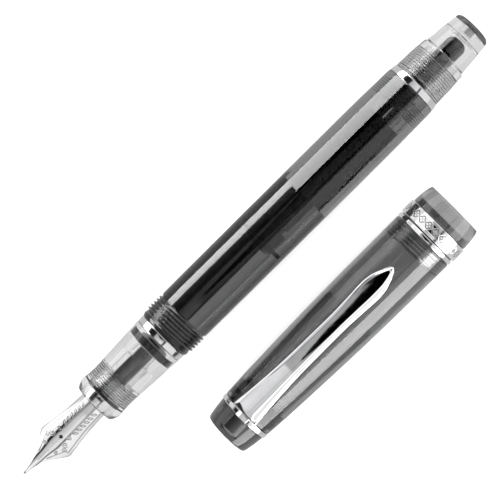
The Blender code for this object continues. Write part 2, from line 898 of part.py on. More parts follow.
def make_clip():
    stations = [(TAB_FRONT, 0), (TAB_END, 0)]
    stations += evenly(CLIP_ROOT, -21.6, 3, 0) + evenly(-21.6, 8.9, 6, 0)[1:]
    stations += evenly(8.9, CLIP_TIP, 6, 0)[1:]
    rows = [clip_row(along, 8) for along, _ in stations]
    clip = sheet("clip", cap_axis, "chrome", rows, CLIP_THICK)
    shade(clip)


def smooth_round_pieces():
    for obj in pieces.objects:
        if obj.type == "MESH" and not any(m.type == "BOOLEAN" for m in obj.modifiers) and obj.data.polygons:
            shade(obj)


clear_scene()
pieces = new_collection("fountain_pen")
cutters = new_collection("cutters")
pen_axis = add_axis("pen_axis", (0, PEN_Y, THREAD_R), (0, 0, 0))
cap_axis = add_axis("cap_axis", (0, 0, 0), (0, 0, 0))

# The cap rests on the fullest part of its wall, so its mouth stands a little higher than its finial.
cap_axis.rotation_euler = (
    Matrix.Rotation(-CAP_TILT, 4, "Y") @ Matrix.Rotation(CAP_ROLL, 4, "X")
).to_euler()
cap_axis.location = Vector((CAP_OFFSET, PEN_Y - AXIS_SPACING, CAP_HEIGHT)) * MM

make_nib_unit()
make_section()
make_barrel()
make_piston()
make_mechanism_housing()
make_knob()
make_cap_shell()
make_cap_inside()
make_cap_trim()
make_clip()
smooth_round_pieces()
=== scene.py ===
"""The looks of a see-through piston fountain pen and its cap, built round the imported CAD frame.

Outlines are in millimetres along and out from the axis of the pen or of the cap, and they hang on the ends
of the CAD nodes that they replace: f is a node's front end along that axis and b its back end. The pen's
axis runs along +X from nib to knob, the cap's from finial to mouth.
"""
import json
import math

import bmesh
import bpy
import numpy as np
from mathutils import Matrix, Vector


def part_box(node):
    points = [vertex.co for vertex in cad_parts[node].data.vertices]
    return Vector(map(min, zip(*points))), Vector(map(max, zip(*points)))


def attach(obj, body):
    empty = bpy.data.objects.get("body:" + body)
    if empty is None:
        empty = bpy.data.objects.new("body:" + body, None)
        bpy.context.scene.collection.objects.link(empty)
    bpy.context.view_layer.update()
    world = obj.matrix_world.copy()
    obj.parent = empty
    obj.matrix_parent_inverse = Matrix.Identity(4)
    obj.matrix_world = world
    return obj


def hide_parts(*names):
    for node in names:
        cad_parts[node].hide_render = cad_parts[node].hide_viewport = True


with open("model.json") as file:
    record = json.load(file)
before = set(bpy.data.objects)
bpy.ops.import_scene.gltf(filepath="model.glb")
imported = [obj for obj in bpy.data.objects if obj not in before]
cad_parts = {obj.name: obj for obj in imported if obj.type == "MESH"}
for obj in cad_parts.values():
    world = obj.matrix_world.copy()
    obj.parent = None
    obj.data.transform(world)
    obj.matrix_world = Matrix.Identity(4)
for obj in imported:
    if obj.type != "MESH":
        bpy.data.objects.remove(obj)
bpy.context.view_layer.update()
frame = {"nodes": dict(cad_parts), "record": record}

MM = 0.001
SIDES = 144
PEN_BODY, CAP_BODY = "barrel", "cap"


# ---- places, all from the frame

def middle(node):
    low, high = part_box(node)
    return (Vector(low) + Vector(high)) / 2


def axis_matrix(origin, along, across):
    """Columns: along the axis, across it, and up; then the origin."""
    along, across = Vector(along).normalized(), Vector(across).normalized()
    up = along.cross(across)
    matrix = Matrix((along, across, up)).transposed().to_4x4()
    matrix.translation = origin
    return matrix


def named(rows, name):
    return next(row for row in rows if row["name"] == name)


record = frame["record"]
clip_joint = named(record["behaviour"]["joints"], "clip_flex")
rim_mount = named(record["mounts"], "cap_mouth_rim")
pen = axis_matrix((0, middle("barrel").y, middle("barrel").z), (1, 0, 0), (0, 1, 0))
cap = axis_matrix(middle("cap_band"), rim_mount["axis"], -Vector(clip_joint["axis"]))


def ends(node, axis):
    """Where a node starts and stops along an axis, in millimetres from the axis's origin."""
    back_to_axis = axis.inverted()
    along = [(back_to_axis @ vertex.co).x / MM for vertex in frame["nodes"][node].data.vertices]
    return min(along), max(along)


# ---- materials

def new_material(name):
    material = bpy.data.materials.new(name)
    material.use_nodes = True
    return material, material.node_tree, material.node_tree.nodes["Principled BSDF"]


def add_node(tree, kind, inputs=None, **settings):
    """A shader node with its settings made, and each given input set to a value or linked to a socket."""
    node = tree.nodes.new("ShaderNode" + kind)
    for name, value in settings.items():
        setattr(node, name, value)
    for name, value in (inputs or {}).items():
        if isinstance(value, bpy.types.NodeSocket):
            tree.links.new(value, node.inputs[name])
        else:
            node.inputs[name].default_value = value
    return node


# Noise mostly lies between these two values, so they are what a range or a pair of colours is spread over.
NOISE_LOW, NOISE_HIGH = 0.3, 0.7


def noise(tree, scale, detail=3.0, stretch=(1, 1, 1)):
    """Noise in object space, in cells per metre, stretched by the given factors."""
    place = add_node(tree, "TexCoord").outputs["Object"]
    mapping = add_node(tree, "Mapping", {"Scale": stretch, "Vector": place})
    cells = {"Scale": scale, "Detail": detail, "Vector": mapping.outputs["Vector"]}
    return add_node(tree, "TexNoise", cells).outputs["Fac"]


def ranged(tree, value, low, high):
    limits = {"From Min": NOISE_LOW, "From Max": NOISE_HIGH, "To Min": low, "To Max": high}
    return add_node(tree, "MapRange", {**limits, "Value": value}).outputs["Result"]


def bumped(tree, shader, height, strength, distance):
    bump = add_node(tree, "Bump", {"Strength": strength, "Distance": distance, "Height": height})
    tree.links.new(bump.outputs["Normal"], shader.inputs["Normal"])


def varied_color(tree, shader, value, dark, light):
    ramp = add_node(tree, "ValToRGB", {"Fac": value})
    ramp.color_ramp.elements[0].position = NOISE_LOW
    ramp.color_ramp.elements[1].position = NOISE_HIGH
    ramp.color_ramp.elements[0].color = (*dark, 1)
    ramp.color_ramp.elements[1].color = (*light, 1)
    tree.links.new(ramp.outputs["Color"], shader.inputs["Base Color"])


RESIN_IOR = 1.49
RESIN_HAZE, RESIN_WAVES = 180, 260
WAVE_STRENGTH, WAVE_DEPTH = 0.03, 0.000003


def clear_plastic(name, absorb_per_mm, tint=(0.5, 0.5, 0.5), roughness=(0.0, 0.012), skin=1.0):
    """Polished see-through resin. Its grey comes from its skin and from the plastic that light crosses."""
    material, tree, shader = new_material(name)
    shader.inputs["Base Color"].default_value = (skin, skin, skin, 1)
    shader.inputs["Transmission Weight"].default_value = 1.0
    shader.inputs["IOR"].default_value = RESIN_IOR
    tree.links.new(ranged(tree, noise(tree, RESIN_HAZE), *roughness), shader.inputs["Roughness"])
    bumped(tree, shader, noise(tree, RESIN_WAVES, 2.0, (0.3, 1, 1)), WAVE_STRENGTH, WAVE_DEPTH)
    density = absorb_per_mm / MM / (1 - tint[1])
    volume = add_node(tree, "VolumeAbsorption", {"Color": (*tint, 1), "Density": density})
    tree.links.new(volume.outputs["Volume"], tree.nodes["Material Output"].inputs["Volume"])
    return material


METAL_WEAR, METAL_HAZE, METAL_MARKS = 350, 900, 2500
MARK_STRENGTH, MARK_DEPTH = 0.05, 0.000004
# Where a Mix node keeps its colour sockets.
COLOR_A, COLOR_B, COLOR_RESULT = 6, 7, 2


def plated(name, dark, light, roughness, grain=(1, 1, 1), engraved=None):
    """Polished metal with faint marks and slight wear. A mesh attribute can paint shade into its engraved
    cuts.
    """
    material, tree, shader = new_material(name)
    shader.inputs["Metallic"].default_value = 1.0
    varied_color(tree, shader, noise(tree, METAL_WEAR, 4.0), dark, light)
    # Painted shade: the engraved cuts take the given dark colour.
    if engraved:
        cut = add_node(tree, "Attribute", attribute_name="engraved")
        plain = shader.inputs["Base Color"].links[0].from_socket
        colors = {"Factor": cut.outputs["Fac"], COLOR_A: plain, COLOR_B: (*engraved, 1)}
        painted_cut_shade = add_node(tree, "Mix", colors, data_type="RGBA")
        tree.links.new(painted_cut_shade.outputs[COLOR_RESULT], shader.inputs["Base Color"])
    tree.links.new(ranged(tree, noise(tree, METAL_HAZE, 4.0, grain), *roughness), shader.inputs["Roughness"])
    bumped(tree, shader, noise(tree, METAL_MARKS, 2.0, grain), MARK_STRENGTH, MARK_DEPTH)
    return material


MATTE_GRAIN, MATTE_HAZE = 1500, 500
GRAIN_STRENGTH, GRAIN_DEPTH = 0.25, 0.00001


def matte(name, dark, light, roughness):
    """Rubber or dull plastic with a fine grain."""
    material, tree, shader = new_material(name)
    grain = noise(tree, MATTE_GRAIN, 5.0)
    varied_color(tree, shader, grain, dark, light)
    tree.links.new(ranged(tree, noise(tree, MATTE_HAZE), *roughness), shader.inputs["Roughness"])
    bumped(tree, shader, grain, GRAIN_STRENGTH, GRAIN_DEPTH)
    return material


COOL = (0.50, 0.50, 0.505)
PALE_COOL = (0.50, 0.505, 0.505)
SMOKE = clear_plastic("smoke_resin", 0.2, COOL, skin=0.55)
# The cap's copy of the barrel's smoke resin, with a darker skin as painted shade.
CAP_SHADED_SMOKE = clear_plastic("cap_shaded_smoke_resin", 0.2, COOL, skin=0.43)
CLEAR = clear_plastic("clear_resin", 0.02, PALE_COOL)
INNER_CLEAR = clear_plastic("inner_clear_resin", 0.04, roughness=(0.0, 0.02))
DARK_SMOKE = clear_plastic("dark_smoke_resin", 0.2, skin=0.6)
SPINDLE = clear_plastic("spindle_resin", 2.0)
LINER = clear_plastic("liner_resin", 0.3, COOL, (0.0, 0.01))
ROD_SMOKE = clear_plastic("rod_smoke_resin", 1.1, COOL, (0.0, 0.01))
PALE = clear_plastic("pale_grey_resin", 0.35, PALE_COOL, (0.02, 0.06), 0.75)
LENGTHWISE, ROUND_AND_ROUND = (0.3, 1, 1), (8, 1, 1)
CHROME = plated("chrome_plate", (0.66, 0.66, 0.67), (0.74, 0.74, 0.75), (0.02, 0.06))
BRUSHED = plated("turned_chrome", (0.64, 0.64, 0.65), (0.74, 0.74, 0.75), (0.03, 0.1), ROUND_AND_ROUND)
# The last colour given to each of these two is painted shade for its engraved cuts.
RHODIUM = plated(
    "rhodium_plate", (0.70, 0.70, 0.71), (0.80, 0.80, 0.80), (0.05, 0.14), LENGTHWISE, (0.16, 0.16, 0.16)
)
BAND_METAL = plated(
    "engraved_chrome", (0.70, 0.70, 0.71), (0.78, 0.78, 0.79), (0.03, 0.08), engraved=(0.12, 0.12, 0.12)
)
IRIDIUM = plated("writing_point_metal", (0.45, 0.45, 0.46), (0.6, 0.6, 0.6), (0.15, 0.3))
RUBBER = matte("black_rubber_ring", (0.001, 0.001, 0.001), (0.004, 0.004, 0.004), (0.3, 0.5))
SEAL = matte("dark_grey_seal", (0.001, 0.001, 0.001), (0.004, 0.004, 0.004), (0.3, 0.45))
GASKET = matte("grey_gasket", (0.02, 0.02, 0.021), (0.04, 0.04, 0.041), (0.35, 0.55))
GLINT = matte("thread_edge_glint", (0.07, 0.07, 0.07), (0.13, 0.13, 0.13), (0.3, 0.5))
POST_METAL = plated("clamp_post_metal", (0.5, 0.5, 0.5), (0.62, 0.62, 0.62), (0.35, 0.5))
# Painted shade: the thin dark lines drawn along threads.
THREAD_SHADE = matte("thread_edge_shadow", (0.02, 0.02, 0.02), (0.05, 0.05, 0.05), (0.3, 0.5))
FEED_PLASTIC = matte("moulded_feed_plastic", (0.006, 0.006, 0.006), (0.02, 0.02, 0.02), (0.25, 0.4))


# ---- shapes

def add_piece(name, mesh, body, axis, material, node, sharp=38):
    """Places a mesh drawn in millimetres on its axis and rides it on its body, in place of any node."""
    mesh.materials.append(material)
    mesh.shade_smooth()
    mesh.set_sharp_from_angle(angle=math.radians(sharp))
    piece = bpy.data.objects.new(name, mesh)
    bpy.context.scene.collection.objects.link(piece)
    mesh.transform(axis @ Matrix.Scale(MM, 4))
    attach(piece, body)
    if node:
        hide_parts(node)
    return piece


SOFTENED_ABOVE = math.radians(14)


def softened(outline, closed, radius, steps=3):
    """The outline with each clear corner cut to a small round."""
    result = []
    count = len(outline)
    for i, point in enumerate(outline):
        here = Vector(point)
        if not closed and i in (0, count - 1):
            result.append(point)
            continue
        before, after = Vector(outline[i - 1]) - here, Vector(outline[(i + 1) % count]) - here
        if before.length < 1e-6 or after.length < 1e-6:
            continue
        turn = math.pi - before.angle(after)
        if turn < SOFTENED_ABOVE:
            result.append(point)
            continue
        cut = min(radius, before.length * 0.45, after.length * 0.45)
        start, stop = here + before.normalized() * cut, here + after.normalized() * cut
        for k in range(steps + 1):
            t = k / steps
            result.append(tuple(start * (1 - t) ** 2 + here * 2 * t * (1 - t) + stop * t * t))
    return result


def joined(outer, inner):
    """One outline from the two front-to-back lists, opened where it would run along the axis."""
    loop = list(reversed(outer)) + list(inner)
    count = len(loop)
    for i in range(count):
        if loop[i][1] == 0 and loop[(i + 1) % count][1] == 0:
            return [loop[(i + 1 + k) % count] for k in range(count)], False
    return loop, True


def faced(name, verts, faces, upwards=False, closing=False):
    """A mesh with its faces turned outwards, or upwards for an open sheet. Closing fills its ends first."""
    mesh = bpy.data.meshes.new(name)
    mesh.from_pydata(verts, [], faces)
    shape = bmesh.new()
    shape.from_mesh(mesh)
    bmesh.ops.delete(shape, geom=[v for v in shape.verts if not v.link_faces], context="VERTS")
    if closing:
        bmesh.ops.remove_doubles(shape, verts=shape.verts, dist=1e-5)
        loops = [edge for edge in shape.edges if len(edge.link_faces) == 1]
        bmesh.ops.holes_fill(shape, edges=loops, sides=0)
    bmesh.ops.recalc_face_normals(shape, faces=shape.faces)
    if upwards and sum(face.normal.z for face in shape.faces) < 0:
        bmesh.ops.reverse_faces(shape, faces=shape.faces)
    shape.to_mesh(mesh)
    shape.free()
    return mesh


def block(name, size, bevel=0.0, segments=3):
    """A box round the origin, with its edges rounded by the bevel."""
    mesh = bpy.data.meshes.new(name)
    shape = bmesh.new()
    bmesh.ops.create_cube(shape, size=1.0)
    bmesh.ops.scale(shape, vec=size, verts=shape.verts)
    if bevel:
        edges = shape.edges[:]
        bmesh.ops.bevel(shape, geom=edges, offset=bevel, segments=segments, profile=0.5, affect="EDGES")
    shape.to_mesh(mesh)
    shape.free()
    return mesh


def spun(name, outline, closed, relief=None, sides=SIDES):
    """The surface of an outline turned about the axis. relief(along, angle, radius) moves points outwards."""
    verts, rings = [], []
    for along, radius in outline:
        if radius < 1e-6:
            rings.append([len(verts)] * sides)
            verts.append((along, 0, 0))
            continue
        rings.append(list(range(len(verts), len(verts) + sides)))
        for k in range(sides):
            angle = 2 * math.pi * k / sides
            out = radius + (relief(along, angle, radius) if relief else 0)
            verts.append((along, out * math.cos(angle), out * math.sin(angle)))
    pairs = list(zip(rings, rings[1:])) + ([(rings[-1], rings[0])] if closed else [])
    faces = []
    for ring, following in pairs:
        for k in range(sides):
            j = (k + 1) % sides
            corners = [ring[k], following[k], following[j], ring[j]]
            faces.append(tuple(dict.fromkeys(corners)))
    return faced(name, verts, faces)


def turned(node, body, axis, material, outer, inner=(), relief=None, radius=0.06, sides=SIDES):
    """The piece that replaces a round node, from its outer and inner outlines, each from front to back."""
    loop, closed = joined(outer, inner)
    mesh = spun(node + "_look", softened(loop, closed, radius), closed, relief, sides)
    return add_piece(node + "_look", mesh, body, axis, material, node)


def plain_ring(node, body, axis, material, outside, inside, radius):
    f, b = ends(node, axis)
    outer = [(f, outside), (b, outside)]
    inner = [(f, inside), (b, inside)]
    return turned(node, body, axis, material, outer, inner, None, radius)


def sealing_ring(node, body, material, middle_radius, half_thick, points):
    """A rubber ring with an oval section, as long as its node."""
    f, b = ends(node, pen)
    centre, half = (f + b) / 2, (b - f) / 2
    steps = [2 * math.pi * k / points for k in range(points)]
    section = [(centre - half * math.cos(a), middle_radius + half_thick * math.sin(a)) for a in steps]
    mesh = spun(node + "_look", section, True)
    add_piece(node + "_look", mesh, body, pen, material, node, 60)


THREAD_STEP = 0.04
FINE_STEP = 0.035
WALL_MATCH = 0.01


def stretch(start, end, radius, step=THREAD_STEP):
    """Closely spaced outline points along a plain wall, for a relief to move."""
    count = max(1, round((end - start) / step))
    return [(start + (end - start) * i / count, radius) for i in range(count + 1)]


def ridges(start, end, wall, pitch, starts, depth):
    """A right-handed screw thread on the wall of the given radius, fading in over one pitch at each end."""
    lead = pitch * starts

    def relief(along, angle, radius):
        if abs(radius - wall) > WALL_MATCH or not start < along < end:
            return 0.0
        phase = (along - lead * angle / (2 * math.pi)) / pitch % 1.0
        tooth = max(0.0, min(1.0, 2.2 * (1 - abs(2 * phase - 1)) - 0.6))
        fade = min(1.0, (along - start) / pitch, (end - along) / pitch)
        return depth * tooth * fade

    return relief


def mark_engraved(mesh, depths):
    """Stores how deeply each point is engraved, from 0 to 1, for the metal to paint shade into the cuts."""
    layer = mesh.attributes.new("engraved", "FLOAT", "POINT")
    layer.data.foreach_set("value", np.asarray(depths, dtype=np.float32))


def thread_line(name, start, end, radius, pitch, body, axis, material, slot, starts=1, half=0.05):
    """A painted line along a screw thread, dark for painted shade and lighter for a painted highlight: a thin
    helical ridge set into the wall it belongs to.
    """
    steps, sides = 64, 6
    lead = pitch * starts
    verts, faces = [], []
    for first in range(starts):
        count = int((end - start) / lead * steps)
        base = len(verts)
        for k in range(count + 1):
            turn = 2 * math.pi * (k / steps + first / starts)
            place = start + lead * k / steps
            for j in range(sides):
                a = 2 * math.pi * j / sides
                out = radius + half * math.sin(a)
                verts.append((place + half * math.cos(a), out * math.cos(turn), out * math.sin(turn)))
        for k in range(count):
            for j in range(sides):
                low, high = base + k * sides, base + (k + 1) * sides
                faces.append((low + j, low + (j + 1) % sides, high + (j + 1) % sides, high + j))
        faces.append(tuple(base + j for j in range(sides)))
        faces.append(tuple(base + count * sides + j for j in reversed(range(sides))))
    add_piece(name, faced(name, verts, faces), body, axis, material, None)


def both(*reliefs):
    """The sum of several reliefs on one outline."""
    return lambda along, angle, radius: sum(relief(along, angle, radius) for relief in reliefs)


def grid(name, rows, **finish):
    """A surface over equal rows of points."""
    verts = [point for row in rows for point in row]
    width = len(rows[0])
    faces = [
        (r * width + c, (r + 1) * width + c, (r + 1) * width + c + 1, r * width + c + 1)
        for r in range(len(rows) - 1)
        for c in range(width - 1)
    ]
    return faced(name, verts, faces, **finish)


def thicken(piece, thickness):
    """Gives an open sheet its thickness, in millimetres, below its surface."""
    solid = piece.modifiers.new("thickness", "SOLIDIFY")
    solid.thickness = thickness * MM
    solid.offset = -1


def eased(points, at):
    """Smooth interpolation through (place, value) points in rising order, with no overshoot."""
    if at <= points[0][0]:
        return points[0][1]
    if at >= points[-1][0]:
        return points[-1][1]
    k = next(i for i in range(len(points) - 1) if at <= points[i + 1][0])
    (a, low), (b, high) = points[k], points[k + 1]

    def slope(i):
        if i <= 0 or i >= len(points) - 1:
            return None
        left = (points[i][1] - points[i - 1][1]) / (points[i][0] - points[i - 1][0])
        right = (points[i + 1][1] - points[i][1]) / (points[i + 1][0] - points[i][0])
        return 0.0 if left * right <= 0 else 2 * left * right / (left + right)

    run = (high - low) / (b - a)
    first = slope(k) if slope(k) is not None else run
    second = slope(k + 1) if slope(k + 1) is not None else run
    t, span = (at - a) / (b - a), b - a
    return (
        low * (1 + 2 * t) * (1 - t) ** 2
        + first * span * t * (1 - t) ** 2
        + high * t * t * (3 - 2 * t)
        + second * span * t * t * (t - 1)
    )


# ---- nib

nib_tip, nib_tail = ends("nib", pen)
NIB_RADIUS = 3.1
NIB_THICK = 0.3
SHOULDER = nib_tip + 9.1
HOLE_AT = nib_tip + 10.8
HOLE_R = 0.42
SLIT = 0.07
ENGRAVING_DEPTH, ENGRAVING_HALF = 0.025, 0.075
NOT_ENGRAVED = 9.0
POINT_R = 0.34
MOUTH = ends("section", pen)[0]
nib_widths = [
    (nib_tip, 0.3), (nib_tip + 2.0, 0.5), (nib_tip + 4.2, 1.0), (nib_tip + 6.2, 2.17),
    (nib_tip + 8.0, 3.44), (SHOULDER - 0.25, 4.0), (SHOULDER + 0.15, 4.07), (SHOULDER + 1.2, 3.93),
    (SHOULDER + 3.6, 3.58), (SHOULDER + 6.4, 3.26), (MOUTH, 3.02),
]
nib_bends = [(nib_tip, 2.3), (nib_tip + 6.0, 3.5), (SHOULDER, 5.2), (MOUTH, NIB_RADIUS)]
NIB_LEVEL = MOUTH - 2.5
NIB_FALL = 2.55


def nib_crown(along):
    """The height of the nib's ridge over the pen's axis: level at the section, then falling to the tip."""
    part = max(0.0, (NIB_LEVEL - along) / (NIB_LEVEL - nib_tip))
    return NIB_RADIUS - NIB_FALL * part**1.4


def nib_half(along):
    """Half the nib's width."""
    return eased(nib_widths, along)


def nib_bend(along):
    """The radius that the nib is rolled to."""
    return eased(nib_bends, along)


def spiral(centre, size, turns, start, hand):
    """A scroll: a spiral that winds in on its centre."""
    points = []
    for k in range(41):
        t = k / 40
        angle = start + hand * 2 * math.pi * turns * t
        reach = size * (1 - t) ** 0.8
        points.append((centre[0] + reach * math.cos(angle), centre[1] + reach * math.sin(angle)))
    return points


def arc_line(start, end, bow, count=24):
    """A curve from start to end, bowed sideways at its middle."""
    a, b = Vector(start), Vector(end)
    side = Vector((-(b - a).y, (b - a).x)).normalized()
    steps = [k / count for k in range(count + 1)]
    return [tuple(a.lerp(b, t) + side * bow * math.sin(math.pi * k / count)) for k, t in enumerate(steps)]


def nib_engraving():
    """Lines cut into each half of the nib's top, as (along, across) points: border, scrolls and leaves."""
    lines = []
    border = [(SHOULDER + 0.3 + k * 0.3, nib_half(SHOULDER + 0.3 + k * 0.3) - 0.75) for k in range(35)]
    lines.append([point for point in border if point[0] < MOUTH + 1.0])
    front = [(nib_tip + 5.6 + k * 0.25, nib_half(nib_tip + 5.6 + k * 0.25) * 0.62) for k in range(13)]
    lines.append(front)
    lines.append(arc_line(front[-1], border[0], -0.25))
    for place, across, size, hand in (
        (SHOULDER + 1.1, 1.75, 0.62, 1),
        (SHOULDER + 0.1, 2.35, 0.5, -1),
        (SHOULDER + 2.6, 1.3, 0.5, -1),
        (SHOULDER - 1.3, 1.55, 0.42, 1),
    ):
        lines.append(spiral((place, across), size, 1.4, math.pi / 2, hand))
    for k in range(6):
        root = SHOULDER + 3.9 + k * 1.05
        lines.append(arc_line((root, 1.15), (root + 0.75, 1.95), 0.2, 10))
        lines.append(arc_line((root, 1.15), (root + 0.75, 1.95), -0.2, 10))
    lines.append(arc_line((SHOULDER + 3.6, 0.95), (MOUTH + 0.8, 0.85), 0.0))
    return lines


def make_nib():
    """A sheet with a slit, a breather hole and shallow engraving, and its round writing point."""
    lengthwise = np.concatenate([
        np.arange(nib_tip + 0.05, MOUTH + 1.2, 0.07),
        np.arange(MOUTH + 1.2, nib_tail, 0.3),
        [nib_tail - 0.02],
    ])
    half_slit = SLIT / 2
    fractions = np.linspace(0, 1, 64)
    grid = []
    for along in lengthwise:
        half = nib_half(along)
        row = half_slit + (half - half_slit) * fractions
        grid.append(np.concatenate([-row[::-1], row]))
    across = np.array(grid)
    along = np.repeat(lengthwise[:, None], across.shape[1], axis=1)
    cut = np.full(across.shape, NOT_ENGRAVED)
    for line in nib_engraving():
        points = np.array(line)
        for a, b in zip(points, points[1:]):
            near = (along > min(a[0], b[0]) - 0.3) & (along < max(a[0], b[0]) + 0.3)
            if not near.any():
                continue
            x, y = along[near], np.abs(across[near])
            step = b - a
            t = np.clip(((x - a[0]) * step[0] + (y - a[1]) * step[1]) / (step @ step), 0, 1)
            distance = np.hypot(x - a[0] - t * step[0], y - a[1] - t * step[1])
            cut[near] = np.minimum(cut[near], distance)
    # The engraving's profile: it sets how deep the cuts are and the painted shade in them.
    engraved = np.exp(-((cut / ENGRAVING_HALF) ** 2))
    depth = ENGRAVING_DEPTH * engraved
    verts, width = [], across.shape[1]
    hole = np.hypot(along - HOLE_AT, across)
    ring = np.abs(hole - HOLE_R) < 0.05
    for r in range(len(lengthwise)):
        bend, crown = nib_bend(lengthwise[r]), nib_crown(lengthwise[r])
        for c in range(width):
            x, y = along[r, c], across[r, c]
            if ring[r, c]:
                x = HOLE_AT + (x - HOLE_AT) * HOLE_R / hole[r, c]
                y = y * HOLE_R / hole[r, c]
            verts.append((x, y, crown - bend + math.sqrt(bend * bend - y * y) - depth[r, c]))
    faces = []
    for r in range(len(lengthwise) - 1):
        for c in range(width - 1):
            centre = (lengthwise[r] + lengthwise[r + 1]) / 2
            if c == width // 2 - 1 and centre < HOLE_AT:
                continue
            if hole[r : r + 2, c : c + 2].mean() < HOLE_R - 0.01:
                continue
            faces.append((r * width + c, r * width + c + 1, (r + 1) * width + c + 1, (r + 1) * width + c))
    used = sorted({corner for face in faces for corner in face})
    mesh = faced("nib_look", verts, faces, upwards=True)
    mark_engraved(mesh, engraved.ravel()[used])
    nib = add_piece("nib_look", mesh, PEN_BODY, pen, RHODIUM, "nib", 30)
    thicken(nib, NIB_THICK)

    point = bpy.data.meshes.new("nib_point_look")
    ball = bmesh.new()
    bmesh.ops.create_uvsphere(ball, u_segments=32, v_segments=20, radius=POINT_R)
    bmesh.ops.scale(ball, vec=(1.0, 1.0, 0.9), verts=ball.verts)
    bmesh.ops.translate(ball, vec=(nib_tip + 0.38, 0, nib_crown(nib_tip) - 0.18), verts=ball.verts)
    ball.to_mesh(point)
    ball.free()
    tip = add_piece("nib_point_look", point, PEN_BODY, pen, IRIDIUM, None)


# ---- feed

FEED_GAP = 0.26


def make_feed():
    """A moulded feed that follows the nib's underside, with fins below it and a round tail."""
    front, back = ends("feed", pen)
    step_at = back - 8.1
    widths = [(front, 0.35), (front + 3.1, 1.3), (front + 6.6, 2.2), (front + 11.6, 2.45)]
    depths = [(front, 0.25), (front + 3.6, 1.6), (front + 9.6, 3.1), (front + 13.6, 3.15)]
    fins_start, fins_end, fin_pitch = front + 6.5, MOUTH + 0.6, 0.62

    def ring(along, count=48):
        bend = nib_bend(along) - NIB_THICK - FEED_GAP
        half = eased(widths, along)
        top = nib_crown(along) - NIB_THICK - FEED_GAP
        edge = top - bend + math.sqrt(bend * bend - half * half)
        depth = eased(depths, along)
        if fins_start < along < fins_end and (along - fins_start) / fin_pitch % 1.0 > 0.55:
            depth *= 0.72
            half *= 0.86
        points = []
        for i in range(count):
            angle = 2 * math.pi * i / count
            y = half * math.cos(angle)
            arc = top - bend + math.sqrt(bend * bend - y * y)
            points.append((along, y, arc if math.sin(angle) >= 0 else edge + depth * math.sin(angle)))
        return points

    def round_ring(along, radius, count=48):
        steps = [2 * math.pi * i / count for i in range(count)]
        return [(along, radius * math.cos(a), radius * math.sin(a)) for a in steps]

    stations = [front + 0.02 + k * 0.3 for k in range(22)]
    at = fins_start
    while at < fins_end:
        stations += [at + 0.01, at + 0.54 * fin_pitch, at + 0.56 * fin_pitch, at + 0.99 * fin_pitch]
        at += fin_pitch
    stations += [at + 0.2, at + 1.5, step_at]
    rings = [ring(along) for along in sorted(stations)]
    rings += [round_ring(step_at + 0.02, 1.17), round_ring(back - 0.2, 1.17), round_ring(back, 0.9)]
    rows = [points + points[:1] for points in rings]
    mesh = grid("feed_look", rows, closing=True)
    add_piece("feed_look", mesh, PEN_BODY, pen, FEED_PLASTIC, "feed", 30)


# ---- front of the pen

COLLAR_R, COLLAR_BODY_R, COLLAR_NECK_R = 4.05, 2.9, 2.3
FINE_PITCH, FINE_DEPTH = 0.5, 0.24
SECTION_ROOT = 4.22
O_RING_SEAT = 3.62


def make_collar():
    f, b = ends("nib_collar", pen)
    ring_front, ring_back = ends("nib_oring", pen)
    thread = (f + 3.2, f + 7.1)
    outer = [
        (f, COLLAR_R - 0.15), (f + 0.15, COLLAR_R), (ring_front - 0.05, COLLAR_R),
        (ring_front - 0.05, O_RING_SEAT), (ring_back + 0.05, O_RING_SEAT), (ring_back + 0.05, COLLAR_R),
        (thread[0] - 0.2, COLLAR_R), *stretch(*thread, COLLAR_R - FINE_DEPTH), (f + 7.3, COLLAR_R - 0.1),
        (f + 7.3, COLLAR_BODY_R), (f + 11.95, COLLAR_BODY_R), (f + 11.95, COLLAR_NECK_R),
        (b, COLLAR_NECK_R),
    ]
    inner = [(f, 3.2), (f + 6.8, 3.2), (f + 6.8, 1.15), (b, 1.15)]
    relief = ridges(*thread, COLLAR_R - FINE_DEPTH, FINE_PITCH, 1, FINE_DEPTH)
    turned("nib_collar", PEN_BODY, pen, INNER_CLEAR, outer, inner, relief, 0.04)
    sealing_ring("nib_oring", PEN_BODY, RUBBER, 3.92, 0.29, 20)


def make_section():
    f, b = ends("section", pen)
    shoulder = f + 18.0
    thread = (f + 3.4, f + 7.4)
    outer = [
        (f, 4.45), (f + 0.1, 4.62), (f + 0.4, 4.8), (f + 0.8, 4.98), (f + 1.3, 5.17), (f + 1.7, 5.28),
        (f + 2.0, 5.32), (f + 2.4, 5.27), (f + 2.9, 5.19), (f + 3.8, 5.12), (f + 5.2, 5.08),
        (f + 7.2, 5.16), (f + 10.0, 5.31), (f + 13.2, 5.48), (shoulder, 5.68), (shoulder, 4.75),
        (b, 4.75),
    ]
    inner = [
        (f, 4.3), (f + 0.2, 4.17), (thread[0] - 0.1, 4.17), *stretch(*thread, SECTION_ROOT),
        (f + 7.75, 4.15), (f + 7.75, 3.0), (f + 12.4, 3.0), (f + 12.4, 2.4), (f + 15.2, 2.4),
        (f + 15.2, 3.5), (b, 3.5),
    ]
    relief = ridges(*thread, SECTION_ROOT, FINE_PITCH, 1, -0.2)
    turned("section", PEN_BODY, pen, CLEAR, outer, inner, relief, 0.05)
    # A painted shade line along the thread.
    line = (thread[0] - 0.1, thread[1] + 0.1, SECTION_ROOT + 0.06)
    thread_line("section_thread_shade", *line, FINE_PITCH, PEN_BODY, pen, THREAD_SHADE, "clear_plastic")

    plain_ring("section_seal", PEN_BODY, pen, SEAL, 3.56, 1.6, 0.12)
    f, b = ends("section_ring", pen)
    outer = [(f, 5.62), (f + 0.12, 5.72), (f + 0.75, 5.77), (b - 0.12, 5.76), (b, 5.68)]
    turned("section_ring", PEN_BODY, pen, BRUSHED, outer, [(f, 4.85), (b, 4.85)])


# ---- barrel and piston

CAP_PITCH, CAP_STARTS, CAP_THREAD_DEPTH = 0.775, 2, 0.46
CHAMBER_R, BAY_R, SOCKET_R = 3.6, 4.6, 4.85
THREAD_ROOT = 5.8
DARK_SLEEVE_R = (4.8, 4.9)


